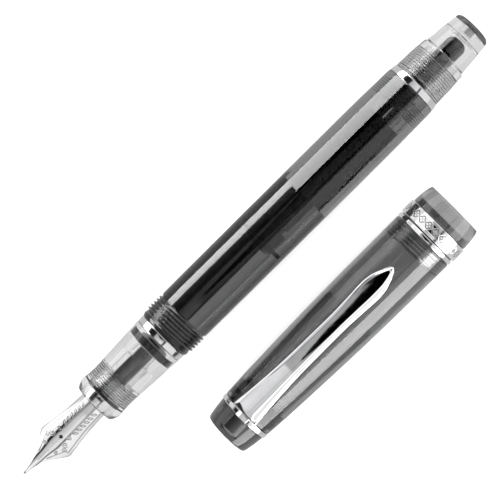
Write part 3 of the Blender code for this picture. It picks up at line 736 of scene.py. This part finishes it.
def make_barrel():
    f, b = ends("barrel", pen)
    thread = (f + 1.05, f + 5.6)
    outer = [
        (f, 5.7), (f + 0.15, 5.84), (f + 0.55, 5.98), (f + 0.8, 5.98),
        (thread[0] - 0.05, THREAD_ROOT + 0.02), *stretch(*thread, THREAD_ROOT), (thread[1] + 0.12, 6.07),
        (f + 12, 6.1), (f + 28, 6.13), (b - 12.0, 6.13), (b - 7.8, 6.09), (b - 4.0, 6.02),
        (b - 0.25, 5.97), (b, 5.88),
    ]
    chamber_end = ends("guide_sleeve", pen)[0] - 0.1
    inner = [
        (f, SOCKET_R), (f + 5.2, SOCKET_R), (f + 5.2, CHAMBER_R), (chamber_end, CHAMBER_R),
        (chamber_end, BAY_R), (b, BAY_R),
    ]
    relief = ridges(*thread, THREAD_ROOT, CAP_PITCH, CAP_STARTS, CAP_THREAD_DEPTH)
    turned("barrel", PEN_BODY, pen, SMOKE, outer, inner, relief, 0.05)
    line = (*thread, THREAD_ROOT - 0.02, CAP_PITCH)
    thread_line("cap_thread_glint", *line, PEN_BODY, pen, GLINT, "smoke_plastic", CAP_STARTS, 0.11)
    # A thin black sleeve in the threaded joint, where the barrel's socket meets the section, that darkens the
    # thread zone.
    front, back = f + 0.2, f + 5.1
    low, high = DARK_SLEEVE_R
    dark_sleeve = spun("thread_dark_sleeve_look", [(front, high), (back, high), (back, low), (front, low)], True)
    add_piece("thread_dark_sleeve_look", dark_sleeve, PEN_BODY, pen, RUBBER, None)


def make_piston():
    f, b = ends("piston_seal", pen)
    outer = [
        (f, 3.2), (f + 0.15, 3.34), (f + 0.5, 3.4), (f + 0.58, 3.56), (f + 0.66, 3.62), (f + 1.4, 3.62),
        (f + 1.48, 3.56), (f + 1.56, 3.4), (b - 0.1, 3.42), (b, 3.36),
    ]
    turned("piston_seal", "piston", pen, SEAL, outer, [(f, 2.3), (b, 2.3)], None, 0.05)
    f, b = ends("piston_head", pen)
    seal_front, seal_back = ends("piston_seal", pen)
    outer = [
        (f, 0), (f, 2.75), (f + 0.15, 2.9), (seal_front - 0.1, 2.9), (seal_front - 0.1, 2.2),
        (seal_back + 0.1, 2.2), (seal_back + 0.1, 2.4), (b - 2.6, 2.4), (b - 2.6, 1.8), (b, 1.8), (b, 0),
    ]
    turned("piston_head", "piston", pen, SEAL, outer)


# ---- rear of the pen

def cut_by(piece, cutters):
    """Subtracts boxes from a piece and leaves the result as its mesh."""
    for cutter in cutters:
        boolean = piece.modifiers.new("cut", "BOOLEAN")
        boolean.operation = "DIFFERENCE"
        boolean.solver = "EXACT"
        boolean.object = cutter
    graph = bpy.context.evaluated_depsgraph_get()
    mesh = bpy.data.meshes.new_from_object(piece.evaluated_get(graph))
    piece.modifiers.clear()
    piece.data = mesh
    mesh.shade_smooth()
    mesh.set_sharp_from_angle(angle=math.radians(38))
    for cutter in cutters:
        bpy.data.objects.remove(cutter)


CUTTER_SPAN = 14


def cross_slot(along, length, width, turn):
    """A box through the pen's axis, used to cut a pair of opposite slots."""
    mesh = block("cross_slot", (length, CUTTER_SPAN, width))
    turned_pen = pen @ Matrix.Scale(MM, 4) @ Matrix.Rotation(turn, 4, "X")
    mesh.transform(turned_pen @ Matrix.Translation((along, 0, 0)))
    cutter = bpy.data.objects.new("cross_slot", mesh)
    bpy.context.scene.collection.objects.link(cutter)
    return cutter


KNOB_PITCH = 0.53
SPINDLE_LEAD = 3.83
SEAT_ROOT, SCREW_WALL, SHANK_ROOT, SPINDLE_ROOT = 4.32, 4.15, 3.87, 1.4
NOTCHES = 3
KEY_TURN = math.radians(45)
KEY_LENGTH, KEY_SPAN, KEY_WIDTH, SLOT_WIDTH = 1.4, 8.1, 1.0, 1.5


def make_sleeve_and_rod():
    sleeve = plain_ring("guide_sleeve", PEN_BODY, pen, ROD_SMOKE, 4.5, 3.0, 0.05)
    f, b = ends("guide_sleeve", pen)
    slot_front, slot_back = f + 0.9, b + 1
    cut_by(sleeve, [cross_slot((slot_front + slot_back) / 2, slot_back - slot_front, SLOT_WIDTH, KEY_TURN)])
    b = ends("piston_rod", pen)[1]
    plain_ring("piston_rod", "piston", pen, ROD_SMOKE, 2.9, 1.9, 0.08)
    keys = block("piston_rod_keys_look", (KEY_LENGTH, KEY_SPAN, KEY_WIDTH), 0.12)
    keys.transform(Matrix.Translation((b - 0.75, 0, 0)) @ Matrix.Rotation(KEY_TURN, 4, "X"))
    add_piece("piston_rod_keys_look", keys, "piston", pen, ROD_SMOKE, None)


def make_housing():
    f, b = ends("rear_housing", pen)
    collar = ends("tail_ring", pen)[1] + 0.05
    seat = (f + 2.95, f + 6.5)
    outer = [
        (f, 4.5), (seat[0] - 0.1, 4.5), *stretch(*seat, SEAT_ROOT), (seat[1] + 0.2, 4.5), (collar, 4.5),
        (collar, 5.55), (collar + 0.12, 5.63), (collar + 3.8, 5.52), (collar + 5.8, 5.38),
        (b - 0.3, 5.24), (b - 0.1, 5.2), (b, 5.08),
    ]
    screw = (collar + 0.5, collar + 6.1)
    inner = [
        (f, 3.3), (f + 2.9, 3.3), (f + 2.9, 2.1), (f + 4.6, 2.1), (f + 4.6, 2.85), (f + 10.0, 2.85),
        (f + 10.0, 4.1), (screw[0] - 0.05, 4.1), *stretch(*screw, SCREW_WALL, FINE_STEP), (b, 4.1),
    ]
    seat_ridges = ridges(*seat, SEAT_ROOT, FINE_PITCH, 1, FINE_DEPTH)
    relief = both(seat_ridges, ridges(*screw, SCREW_WALL, KNOB_PITCH, 1, -0.22))
    housing = turned("rear_housing", PEN_BODY, pen, CLEAR, outer, inner, relief, 0.05)
    # Painted shade lines along both threads.
    for name, place, radius, pitch in (
        ("seat_thread_shade", seat, 4.62, FINE_PITCH),
        ("screw_thread_shade", screw, 4.2, KNOB_PITCH),
    ):
        thread_line(name, *place, radius, pitch, PEN_BODY, pen, THREAD_SHADE, "clear_plastic", half=0.06)
    turns = [math.radians(180 / NOTCHES * k + 15) for k in range(NOTCHES)]
    cut_by(housing, [cross_slot(f + 0.4, 4.8, 1.9, turn) for turn in turns])
    f, b = ends("tail_ring", pen)
    outer = [(f, 5.84), (f + 0.12, 5.92), (f + 0.8, 5.84), (b - 0.12, 5.72), (b, 5.64)]
    turned("tail_ring", PEN_BODY, pen, BRUSHED, outer, [(f, 4.65), (b, 4.65)])


DOME_R = 3.6
GROOVE_PITCH, GROOVE_DEPTH = 0.42, 0.035


def make_knob():
    f, b = ends("spindle", pen)
    ring_front, ring_back = ends("spindle_oring", pen)
    shank = ends("knob", pen)[0]
    drive = (f + 0.2, f + 25.2)
    outer = [
        (f, 0), (f, 1.3), *stretch(*drive, SPINDLE_ROOT, 0.12), (f + 25.3, 2.0), (ring_front - 0.06, 2.0),
        (ring_front - 0.06, 1.6), (ring_back + 0.06, 1.6), (ring_back + 0.06, 2.0), (shank, 2.0),
        (shank, 2.2), (b - 1.4, 2.2), (b - 0.7, 1.9), (b - 0.25, 1.3), (b, 0.0),
    ]
    relief = ridges(*drive, SPINDLE_ROOT, SPINDLE_LEAD / 2, 2, 0.34)
    turned("spindle", "knob", pen, SPINDLE, outer, [], relief)
    sealing_ring("spindle_oring", "spindle_ring", SEAL, 2.2, 0.54, 16)

    f, b = ends("knob", pen)
    face = f + 7.4
    screw = (f + 0.4, f + 6.6)
    outer = [
        (f, 3.75), (f + 0.2, 3.85), *stretch(*screw, SHANK_ROOT, FINE_STEP), (face - 0.2, 3.95),
        (face, 3.95), (face, 4.74), (face + 0.14, 4.88), (b - 0.1, 4.48), (b, 4.4),
    ]
    inner = [(f, 2.28), (b - 0.45, 2.28), (b - 0.45, 3.0), (b, 3.0)]
    turned("knob", "knob", pen, CLEAR, outer, inner, ridges(*screw, SHANK_ROOT, KNOB_PITCH, 1, 0.2), 0.05)

    f, b = ends("knob_plug", pen)
    lip = f + 0.43
    outer = [(f, 0), (f, 2.9), (lip, 2.9), (lip, 4.36), (lip + 0.09, 4.43), (b - 0.1, 4.24), (b, 4.16)]
    turned("knob_plug", "knob", pen, CLEAR, outer, [(f + 1.2, 0), (f + 1.2, 1.1), (b, 1.1)], None, 0.05)
    f, b = ends("knob_disc", pen)
    base = f + 1.3
    dome = [(base, 4.1), (base + 0.1, 4.18), (base + 0.4, 4.16), (base + 0.7, 4.02), (base + 0.98, 3.7)]
    quarter = [math.pi / 2 * (k / 50) for k in range(1, 50)]
    dome += [(base + 0.98 + (b - base - 0.98) * math.sin(a), DOME_R * math.cos(a)) for a in quarter]
    outer = [(f, 0), (f, 1.0), (base, 1.0)] + dome + [(b, 0)]

    def grooves(along, angle, radius):
        """Fine turned rings on the dome."""
        wave = 0.5 + 0.5 * math.cos(2 * math.pi * radius / GROOVE_PITCH)
        return -GROOVE_DEPTH * wave if base + 0.9 < along else 0.0

    turned("knob_disc", "knob", pen, DARK_SMOKE, outer, [], grooves, 0.03)


# ---- cap

CAP_WALL = 6.45
POST_HOLE_R = 1.77


def make_cap_shell():
    f, b = ends("cap_shell", cap)
    step = ends("cap_thin_ring", cap)[0] - 0.1
    liner = ends("cap_liner", cap)
    web = (liner[0] - 1.9, liner[0] - 0.1)
    thread = (step - 3.75, step + 0.05)
    outer = [
        (f, 5.72), (f + 0.12, 5.83), (f + 2.3, 5.97), (f + 4.7, 6.1), (f + 9.5, 6.3), (f + 16.7, 6.56),
        (f + 24.1, 6.8), (f + 33.5, 6.97), (f + 40.7, 7.0), (step - 0.08, 7.04), (step, 6.98),
        (step, 6.76), (b, 6.76),
    ]
    inner = [
        (f, 5.1), (web[0], 5.1), (web[0], POST_HOLE_R), (web[1], POST_HOLE_R), (web[1], 5.3),
        (liner[1] + 0.2, 6.28), (thread[0] - 1.5, 6.42), *stretch(*thread, CAP_WALL), (b, CAP_WALL),
    ]
    relief = ridges(*thread, CAP_WALL, CAP_PITCH, CAP_STARTS, -0.34)
    turned("cap_shell", CAP_BODY, cap, CAP_SHADED_SMOKE, outer, inner, relief, 0.05)
    # A painted shade line along the thread.
    line = (*thread, CAP_WALL + 0.07, CAP_PITCH)
    thread_line("cap_thread_shade", *line, CAP_BODY, cap, THREAD_SHADE, "smoke_plastic", CAP_STARTS)


def make_cap_inside():
    f, b = ends("cap_liner", cap)
    inner = [(f, POST_HOLE_R), (f + 0.8, POST_HOLE_R), (f + 0.8, 4.6), (b, 5.6)]
    turned("cap_liner", CAP_BODY, cap, LINER, [(f, 5.1), (b - 0.1, 6.1), (b, 6.02)], inner, None, 0.08)
    plain_ring("cap_gasket", CAP_BODY, cap, GASKET, 5.13, 1.8, 0.05)
    plain_ring("cap_washer", CAP_BODY, cap, PALE, 5.0, 1.8, 0.08)
    f, b = ends("finial", cap)
    post = ends("finial_screw", cap)
    outer = [
        (f, 0), (f + 0.04, 1.4), (f + 0.14, 2.8), (f + 0.3, 4.2), (f + 0.45, 4.7), (f + 0.7, 4.95),
        (f + 1.5, 5.14), (f + 3.1, 5.4), (b - 0.08, 5.61), (b, 5.54),
    ]
    inner = [(post[0] - 0.1, 0), (post[0] - 0.1, 1.3), (post[0] + 0.35, 1.75), (b, 1.75)]
    turned("finial", CAP_BODY, cap, DARK_SMOKE, outer, inner, None, 0.05)
    f, b = post
    outer = [(f, 0), (f, 1.3), (f + 0.35, 1.67), (b - 1.2, 1.67), (b - 1.2, 3.0), (b, 3.0), (b, 0)]
    turned("finial_screw", CAP_BODY, cap, POST_METAL, outer)


BAND_REPEATS = 24
BAND_SIDES = 480
FIELD_R = 7.24
LEAF_DEPTH, VEIN_DEPTH = 0.05, 0.03
TRIM_BORE = 6.85


def make_cap_trim():
    f, b = ends("clip_ring", cap)
    outer = [(f, 5.78), (f + 0.15, 5.88), (b - 0.15, 5.9), (b, 5.82)]
    turned("clip_ring", CAP_BODY, cap, BRUSHED, outer, [(f, POST_HOLE_R), (b, POST_HOLE_R)])
    f, b = ends("cap_thin_ring", cap)
    outer = [(f, 7.05), (f + 0.15, 7.12), (b - 0.15, 7.12), (b, 7.05)]
    turned("cap_thin_ring", CAP_BODY, cap, CHROME, outer, [(f, TRIM_BORE), (b, TRIM_BORE)])
    f, b = ends("cap_band", cap)
    field = (f + 0.7, b - 0.6)
    outer = [
        (f, 7.14), (f + 0.12, 7.25), (f + 0.4, 7.3), (f + 0.6, 7.28), *stretch(*field, FIELD_R),
        (b - 0.5, 7.28), (b - 0.3, 7.28), (b - 0.1, 7.23), (b, 7.12),
    ]

    def frieze(along, angle, radius):
        """A row of pointed leaves, cut shallow into the field between two plain beads."""
        if abs(radius - FIELD_R) > WALL_MATCH or not field[0] < along < field[1]:
            return 0.0
        across = (along - (field[0] + field[1]) / 2) / ((field[1] - field[0]) / 2)
        turn = angle / (2 * math.pi) * BAND_REPEATS % 1.0 * 2 - 1
        leaf = abs(across) + abs(turn) ** 1.4 - 0.85
        vein = abs(abs(across) - 0.12 - 0.4 * abs(turn))
        rim = math.exp(-((leaf / 0.13) ** 2))
        line = math.exp(-((vein / 0.1) ** 2)) if leaf < -0.15 else 0.0
        return -LEAF_DEPTH * rim - VEIN_DEPTH * line

    inner = [(f, TRIM_BORE), (b, TRIM_BORE)]
    band = turned("cap_band", CAP_BODY, cap, BAND_METAL, outer, inner, frieze, 0.04, BAND_SIDES)
    # How deeply each point of the frieze is cut, for the painted shade in its cuts.
    back_to_cap = cap.inverted()
    depths = []
    for vertex in band.data.vertices:
        place = (back_to_cap @ vertex.co) / MM
        radius = math.hypot(place.y, place.z)
        on_field = field[0] < place.x < field[1] and FIELD_R - 0.1 < radius
        depths.append(min(1.0, max(0.0, (FIELD_R - radius) / LEAF_DEPTH)) if on_field else 0.0)
    mark_engraved(band.data, depths)
    f, b = ends("cap_lip", cap)
    outer = [
        (f, 6.89), (f + 0.1, 6.95), (f + 1.4, 6.9), (f + 2.6, 6.78), (f + 3.4, 6.64), (f + 3.9, 6.5),
        (f + 4.2, 6.38), (b, 6.32),
    ]
    inner = [(f, TRIM_BORE), (f + 1.45, TRIM_BORE), (f + 1.45, 6.45), (f + 3.3, 6.3), (b, 6.3)]
    turned("cap_lip", CAP_BODY, cap, PALE, outer, inner, None, 0.04)


# ---- clip

CLIP_THICK = 0.5
CLIP_STATIONS, CLIP_POINTS = 260, 48
# The channel between the rims, and how much lower it is on its +Y side per millimetre across.
RIM_WIDTH, CHANNEL_DEPTH, CHANNEL_LEAN = 0.42, 0.34, 0.093
TAB_WIDTH, TAB_THICK, TAB_LEVEL = 2.76, 0.5, 6.35


def make_clip():
    f, b = ends("clip", cap)
    root = f + 1.2
    widths = [
        (root, 3.15), (root + 4.5, 2.73), (root + 9.5, 2.38), (root + 14.3, 2.15), (root + 26.1, 2.04),
        (root + 31.0, 2.22), (root + 35.0, 2.41), (root + 37.1, 2.2), (root + 38.8, 1.65),
        (root + 40.2, 0.95), (b - 0.1, 0.3),
    ]
    heights = [
        (root, 6.8), (root + 0.5, 7.12), (root + 1.2, 7.4), (root + 2.2, 7.58), (root + 5.0, 7.75),
        (root + 10.0, 8.08), (root + 13.0, 8.222), (root + 15.0, 8.227), (root + 17.0, 8.21),
        (root + 20.0, 8.167), (root + 26.0, 8.062), (root + 34.0, 7.95), (root + 39.0, 7.88), (b, 7.82),
    ]
    def section(along):
        """Points across the top: a rounded rim at each edge and a concave channel between them."""
        half, top = eased(widths, along), eased(heights, along)
        fill = min(1.0, max(0.0, (along - root) / 1.2), max(0.0, (b - 0.35 - along) / 0.6))
        inner = max(0.12, half - RIM_WIDTH * 0.9)
        bowl = min(1.0, 0.6 * (inner / 2.03) ** 2)
        points = []
        for k in range(CLIP_POINTS + 1):
            across = 1 - 2 * k / CLIP_POINTS
            y = half * across
            out = min(1.0, abs(y) / inner)
            channel = CHANNEL_DEPTH * fill * (1 - bowl * out**2 - (1 - bowl) * out**8)
            channel -= CHANNEL_LEAN * fill * y * (1 - out**4)
            edge = max(0.0, abs(y) - (half - RIM_WIDTH)) / RIM_WIDTH
            fall = RIM_WIDTH * 0.8 * (1 - math.sqrt(max(0.0, 1 - edge * edge)))
            points.append((along, y, top - channel - fall))
        return points

    length = b - root - 0.12
    stations = [root + 0.02 + length * (k / CLIP_STATIONS) for k in range(CLIP_STATIONS + 1)]
    mesh = grid("clip_look", [section(along) for along in stations], upwards=True)
    clip = add_piece("clip_look", mesh, "clip", cap, CHROME, "clip", 50)
    thicken(clip, CLIP_THICK)
    tab_back = root + 0.6
    tab = block("clip_tab_look", (tab_back - f, TAB_WIDTH, TAB_THICK), 0.14, 4)
    tab.transform(Matrix.Translation(((f + tab_back) / 2, 0, TAB_LEVEL)))
    add_piece("clip_tab_look", tab, "clip", cap, CHROME, None)


make_nib()
make_feed()
make_collar()
make_section()
make_barrel()
make_piston()
make_sleeve_and_rod()
make_housing()
make_knob()
make_cap_shell()
make_cap_inside()
make_cap_trim()
make_clip()


# ---- floor, light and camera

def maths(tree, operation, *values):
    return add_node(tree, "Math", dict(enumerate(values)), operation=operation).outputs["Value"]


CURVE_TOP = 4


def curve(tree, value, stops):
    """A curve through (value, strength) stops, with values from -1 to 1 and strengths up to CURVE_TOP."""
    node = add_node(tree, "ValToRGB", {"Fac": maths(tree, "MULTIPLY_ADD", value, 0.5, 0.5)})
    ramp = node.color_ramp
    while len(ramp.elements) < len(stops):
        ramp.elements.new(0.5)
    for element, (place, strength) in zip(ramp.elements, stops):
        element.position = place / 2 + 0.5
        level = strength / CURVE_TOP
        element.color = (level, level, level, 1)
    return maths(tree, "MULTIPLY", node.outputs["Color"], float(CURVE_TOP))


def blended(tree, factor, low, high):
    mixed = {"Factor": factor, "A": low, "B": high}
    return add_node(tree, "Mix", mixed, data_type="FLOAT").outputs["Result"]


def step_up(tree, value, low, high, kind="SMOOTHSTEP"):
    limits = {"From Min": low, "From Max": high, "Value": value}
    return add_node(tree, "MapRange", limits, interpolation_type=kind).outputs["Result"]


# The floor's plain grey: as the camera sees it, as polished faces mirror it, as the plastic lets it through
# and as matt faces gather it.
FLOOR_SEEN = 0.87
FLOOR_IN_GLOSS = 0.75
FLOOR_THROUGH_PEN = 0.8
FLOOR_GATHERED = 0.9
FLOOR_HALF = 3.0
# The dark patches under the barrel, in metres: start and end along X, and the far side across from its axis.
# They all begin at the same near side, and only see-through pieces show them.
SHADOW_PATCHES = [(-0.023, 0.0157, 0.0095), (0.0157, 0.046, 0.0005)]
SHADOW_NEAR, SHADOW_BLUR = -0.0021, 0.00015
SHADOW_LEVEL = 0.02
# A ray that has left a matt face has a diffuse depth of one or more.
MATT_RAY = 0.5


def shadow_under_barrel(tree):
    """One where the dark barrel keeps the light off the table, and zero elsewhere."""
    place = add_node(tree, "TexCoord").outputs["Object"]
    parts = add_node(tree, "SeparateXYZ", {"Vector": place})
    centre = middle("barrel").y

    def between(value, low, high):
        rising = step_up(tree, value, low - SHADOW_BLUR, low + SHADOW_BLUR)
        falling = maths(tree, "SUBTRACT", 1.0, step_up(tree, value, high - SHADOW_BLUR, high + SHADOW_BLUR))
        return maths(tree, "MULTIPLY", rising, falling)

    patches = []
    for start, end, far in SHADOW_PATCHES:
        along = between(parts.outputs["X"], start, end)
        across = between(parts.outputs["Y"], centre + SHADOW_NEAR, centre + far)
        patches.append(maths(tree, "MULTIPLY", along, across))
    return maths(tree, "MAXIMUM", *patches)


def make_floor():
    """A pale table. Only the camera sees it lit. To other rays it is an even panel with dark patches."""
    mesh = bpy.data.meshes.new("floor")
    shape = bmesh.new()
    bmesh.ops.create_grid(shape, x_segments=1, y_segments=1, size=FLOOR_HALF)
    shape.to_mesh(mesh)
    shape.free()
    material, tree, shader = new_material("pale_floor")
    shader.inputs["Base Color"].default_value = (FLOOR_SEEN, FLOOR_SEEN, FLOOR_SEEN, 1)
    shader.inputs["Roughness"].default_value = 0.8
    light_path = add_node(tree, "LightPath")
    through = blended(tree, shadow_under_barrel(tree), FLOOR_THROUGH_PEN, SHADOW_LEVEL)
    level = blended(tree, light_path.outputs["Is Transmission Ray"], FLOOR_IN_GLOSS, through)
    matt_ray = maths(tree, "GREATER_THAN", light_path.outputs["Diffuse Depth"], MATT_RAY)
    panel = add_node(tree, "Emission", {"Strength": blended(tree, matt_ray, level, FLOOR_GATHERED)})
    seen = light_path.outputs["Is Camera Ray"]
    shaders = {"Fac": seen, 1: panel.outputs["Emission"], 2: shader.outputs["BSDF"]}
    switch = add_node(tree, "MixShader", shaders)
    tree.links.new(switch.outputs["Shader"], tree.nodes["Material Output"].inputs["Surface"])
    mesh.materials.append(material)
    floor = bpy.data.objects.new("floor", mesh)
    bpy.context.scene.collection.objects.link(floor)


# What the studio shows above the table, as (angle from straight up, brightness). Plus is towards +Y.
STUDIO = [
    (-105, 1.0), (-60, 1.1), (-31, 1.1), (-27, 0.12), (-22, 0.12), (-18, 0.5), (20, 0.6), (25, 0.02),
    (50, 0.02), (56, 0.25), (61, 0.9), (105, 1.0),
]
# Away from the camera, past these angles from straight up along X, the ceiling is bright right across.
CEILING_HALF = 20
FAR_CEILING = 1.1
FAR_FROM, FAR_FULL = math.sin(math.radians(5.5)), math.sin(math.radians(9))
# Past these parts of the way to the horizon along X, the studio's end walls take over.
WALLS_FROM, WALLS_FULL = 0.53, 0.59
END_WALLS = [(-1.0, 1.0), (-0.985, 1.0), (-0.95, 0.04), (-0.68, 0.04), (-0.6, 1.0), (1.0, 1.0)]
# A black wedge overhead, in degrees along X: it starts, is full width, and stops.
GLOOM_ENDS = (-4.5, 2.5, 9.0)
GLOOM_WIDTH = math.radians(26)
GLOOM_SOFT_ACROSS, GLOOM_SOFT_ALONG = 0.006, 0.05
DOME = 2.6


def make_world():
    """A studio: a grey ceiling with a dark wedge in it, dark gaps, and white walls. The light that a matt
    surface gathers comes from a plain white dome."""
    world = bpy.data.worlds.new("studio")
    bpy.context.scene.world = world
    world.use_nodes = True
    world.cycles.sampling_method = "NONE"
    tree = world.node_tree
    place = add_node(tree, "TexCoord").outputs["Generated"]
    parts = add_node(tree, "SeparateXYZ", {"Vector": place})
    across = maths(tree, "DIVIDE", maths(tree, "ARCTAN2", parts.outputs["Y"], parts.outputs["Z"]), math.pi)
    along = maths(tree, "ABSOLUTE", parts.outputs["X"])
    near = curve(tree, across, [(angle / 180, strength) for angle, strength in STUDIO])
    overhead = range(1 - CEILING_HALF, CEILING_HALF)
    far_stops = [(angle / 180, FAR_CEILING if angle in overhead else strength) for angle, strength in STUDIO]
    far = curve(tree, across, far_stops)
    total = blended(tree, step_up(tree, along, FAR_FROM, FAR_FULL), near, far)
    end_walls = curve(tree, parts.outputs["X"], END_WALLS)
    total = blended(tree, step_up(tree, along, WALLS_FROM, WALLS_FULL), total, end_walls)
    start, full, stop = (math.sin(math.radians(angle)) for angle in GLOOM_ENDS)
    taper = step_up(tree, parts.outputs["X"], start, full, "LINEAR")
    edge = maths(tree, "MULTIPLY", taper, GLOOM_WIDTH / math.pi)
    outside = maths(tree, "SUBTRACT", maths(tree, "ABSOLUTE", across), edge)
    clear_across = step_up(tree, outside, -GLOOM_SOFT_ACROSS, GLOOM_SOFT_ACROSS)
    soft = stop * GLOOM_SOFT_ALONG
    clear_along = step_up(tree, parts.outputs["X"], stop - soft, stop + soft)
    total = maths(tree, "MULTIPLY", total, maths(tree, "MAXIMUM", clear_along, clear_across))
    light_path = add_node(tree, "LightPath")
    gathered = maths(tree, "GREATER_THAN", light_path.outputs["Diffuse Depth"], MATT_RAY)
    total = blended(tree, gathered, total, DOME)
    tree.nodes["Background"].inputs["Color"].default_value = (1, 1, 1, 1)
    tree.links.new(total, tree.nodes["Background"].inputs["Strength"])


STRIP_START, STRIP_END, STRIP_DISTANCE = -1.2, 1.2, 0.6
BAY_START = 0.0203
BARREL_PIECES = ("barrel", "section_ring", "tail_ring")
CLEAR_PIECES = ("section", "rear_housing", "knob", "knob_plug", "knob_disc")
NIB_PIECES = ("nib", "nib_point")
CAP_PIECES = ("cap_shell", "finial", "clip_ring", "cap_thin_ring", "cap_band", "clip", "clip_tab")


def add_strip(name, angle, spread, strength, pieces, inside=True, start=STRIP_START):
    """A long soft strip of light that runs along X from start, at an angle from straight up towards +Y and
    with a spread, both in degrees. It shows only in the given pieces, and with inside also in their inner
    walls."""
    light = bpy.data.lights.new(name, "AREA")
    light.shape = "RECTANGLE"
    height = 2 * STRIP_DISTANCE * math.tan(math.radians(spread / 2))
    length = STRIP_END - start
    light.size, light.size_y = length, height
    light.energy = strength * math.pi * length * height
    lamp = bpy.data.objects.new(name, light)
    up = math.radians(angle)
    lamp.location = (start + length / 2, STRIP_DISTANCE * math.sin(up), STRIP_DISTANCE * math.cos(up))
    lamp.rotation_euler = (-up, 0, 0)
    lamp.visible_transmission = inside
    lit = bpy.data.collections.new(name + "_lit")
    for piece in pieces:
        lit.objects.link(bpy.data.objects[piece + "_look"])
    lamp.light_linking.receiver_collection = lit
    bpy.context.scene.collection.objects.link(lamp)


CAMERA_DISTANCE = 0.455
VIEW_WIDTH = 0.1
SENSOR_WIDTH = 36
ROLL = math.radians(44.75)
# Where along the pen the camera stands and where it aims, in metres from the middle and the pen's axis.
CAMERA_ALONG = 0.0123
AIM_ALONG, AIM_ACROSS = 0.00031, -0.00007


def make_camera():
    """Looks almost straight down, turned so that the pen runs from lower left to upper right."""
    height = middle("barrel").z
    target = Vector((AIM_ALONG, middle("barrel").y + AIM_ACROSS, height))
    place = Vector((CAMERA_ALONG, target.y, height + CAMERA_DISTANCE))
    back = (place - target).normalized()
    up = Vector((math.sin(ROLL), math.cos(ROLL), 0))
    up = (up - back * up.dot(back)).normalized()
    matrix = Matrix((up.cross(back), up, back)).transposed().to_4x4()
    matrix.translation = place
    data = bpy.data.cameras.new("camera")
    data.sensor_width = SENSOR_WIDTH
    data.lens = data.sensor_width * CAMERA_DISTANCE / VIEW_WIDTH
    data.clip_start = 0.01
    camera = bpy.data.objects.new("camera", data)
    camera.matrix_world = matrix
    bpy.context.scene.collection.objects.link(camera)
    bpy.context.scene.camera = camera


make_floor()
make_world()
add_strip("barrel_light", 76, 31, 10.0, BARREL_PIECES, inside=False)
add_strip("sleeve_light", 47.25, 26.5, 10.0, ("barrel",), inside=False, start=BAY_START)
add_strip("clear_piece_light", 76, 31, 2.0, CLEAR_PIECES)
add_strip("nib_light", 71, 66, 1.1, NIB_PIECES)
add_strip("cap_light", -71, 45, 6.5, CAP_PIECES)
add_strip("lip_light", -71, 45, 1.5, ("cap_lip",))
add_strip("clip_light", 57.5, 92, 1.1, ("clip", "clip_tab"))
add_strip("band_light", 42, 42, 1.2, ("cap_band", "cap_thin_ring"))
make_camera()
cycles = bpy.context.scene.cycles
cycles.max_bounces = 32
cycles.transmission_bounces = 32
cycles.glossy_bounces = 8
bpy.context.scene.view_settings.view_transform = "Standard"
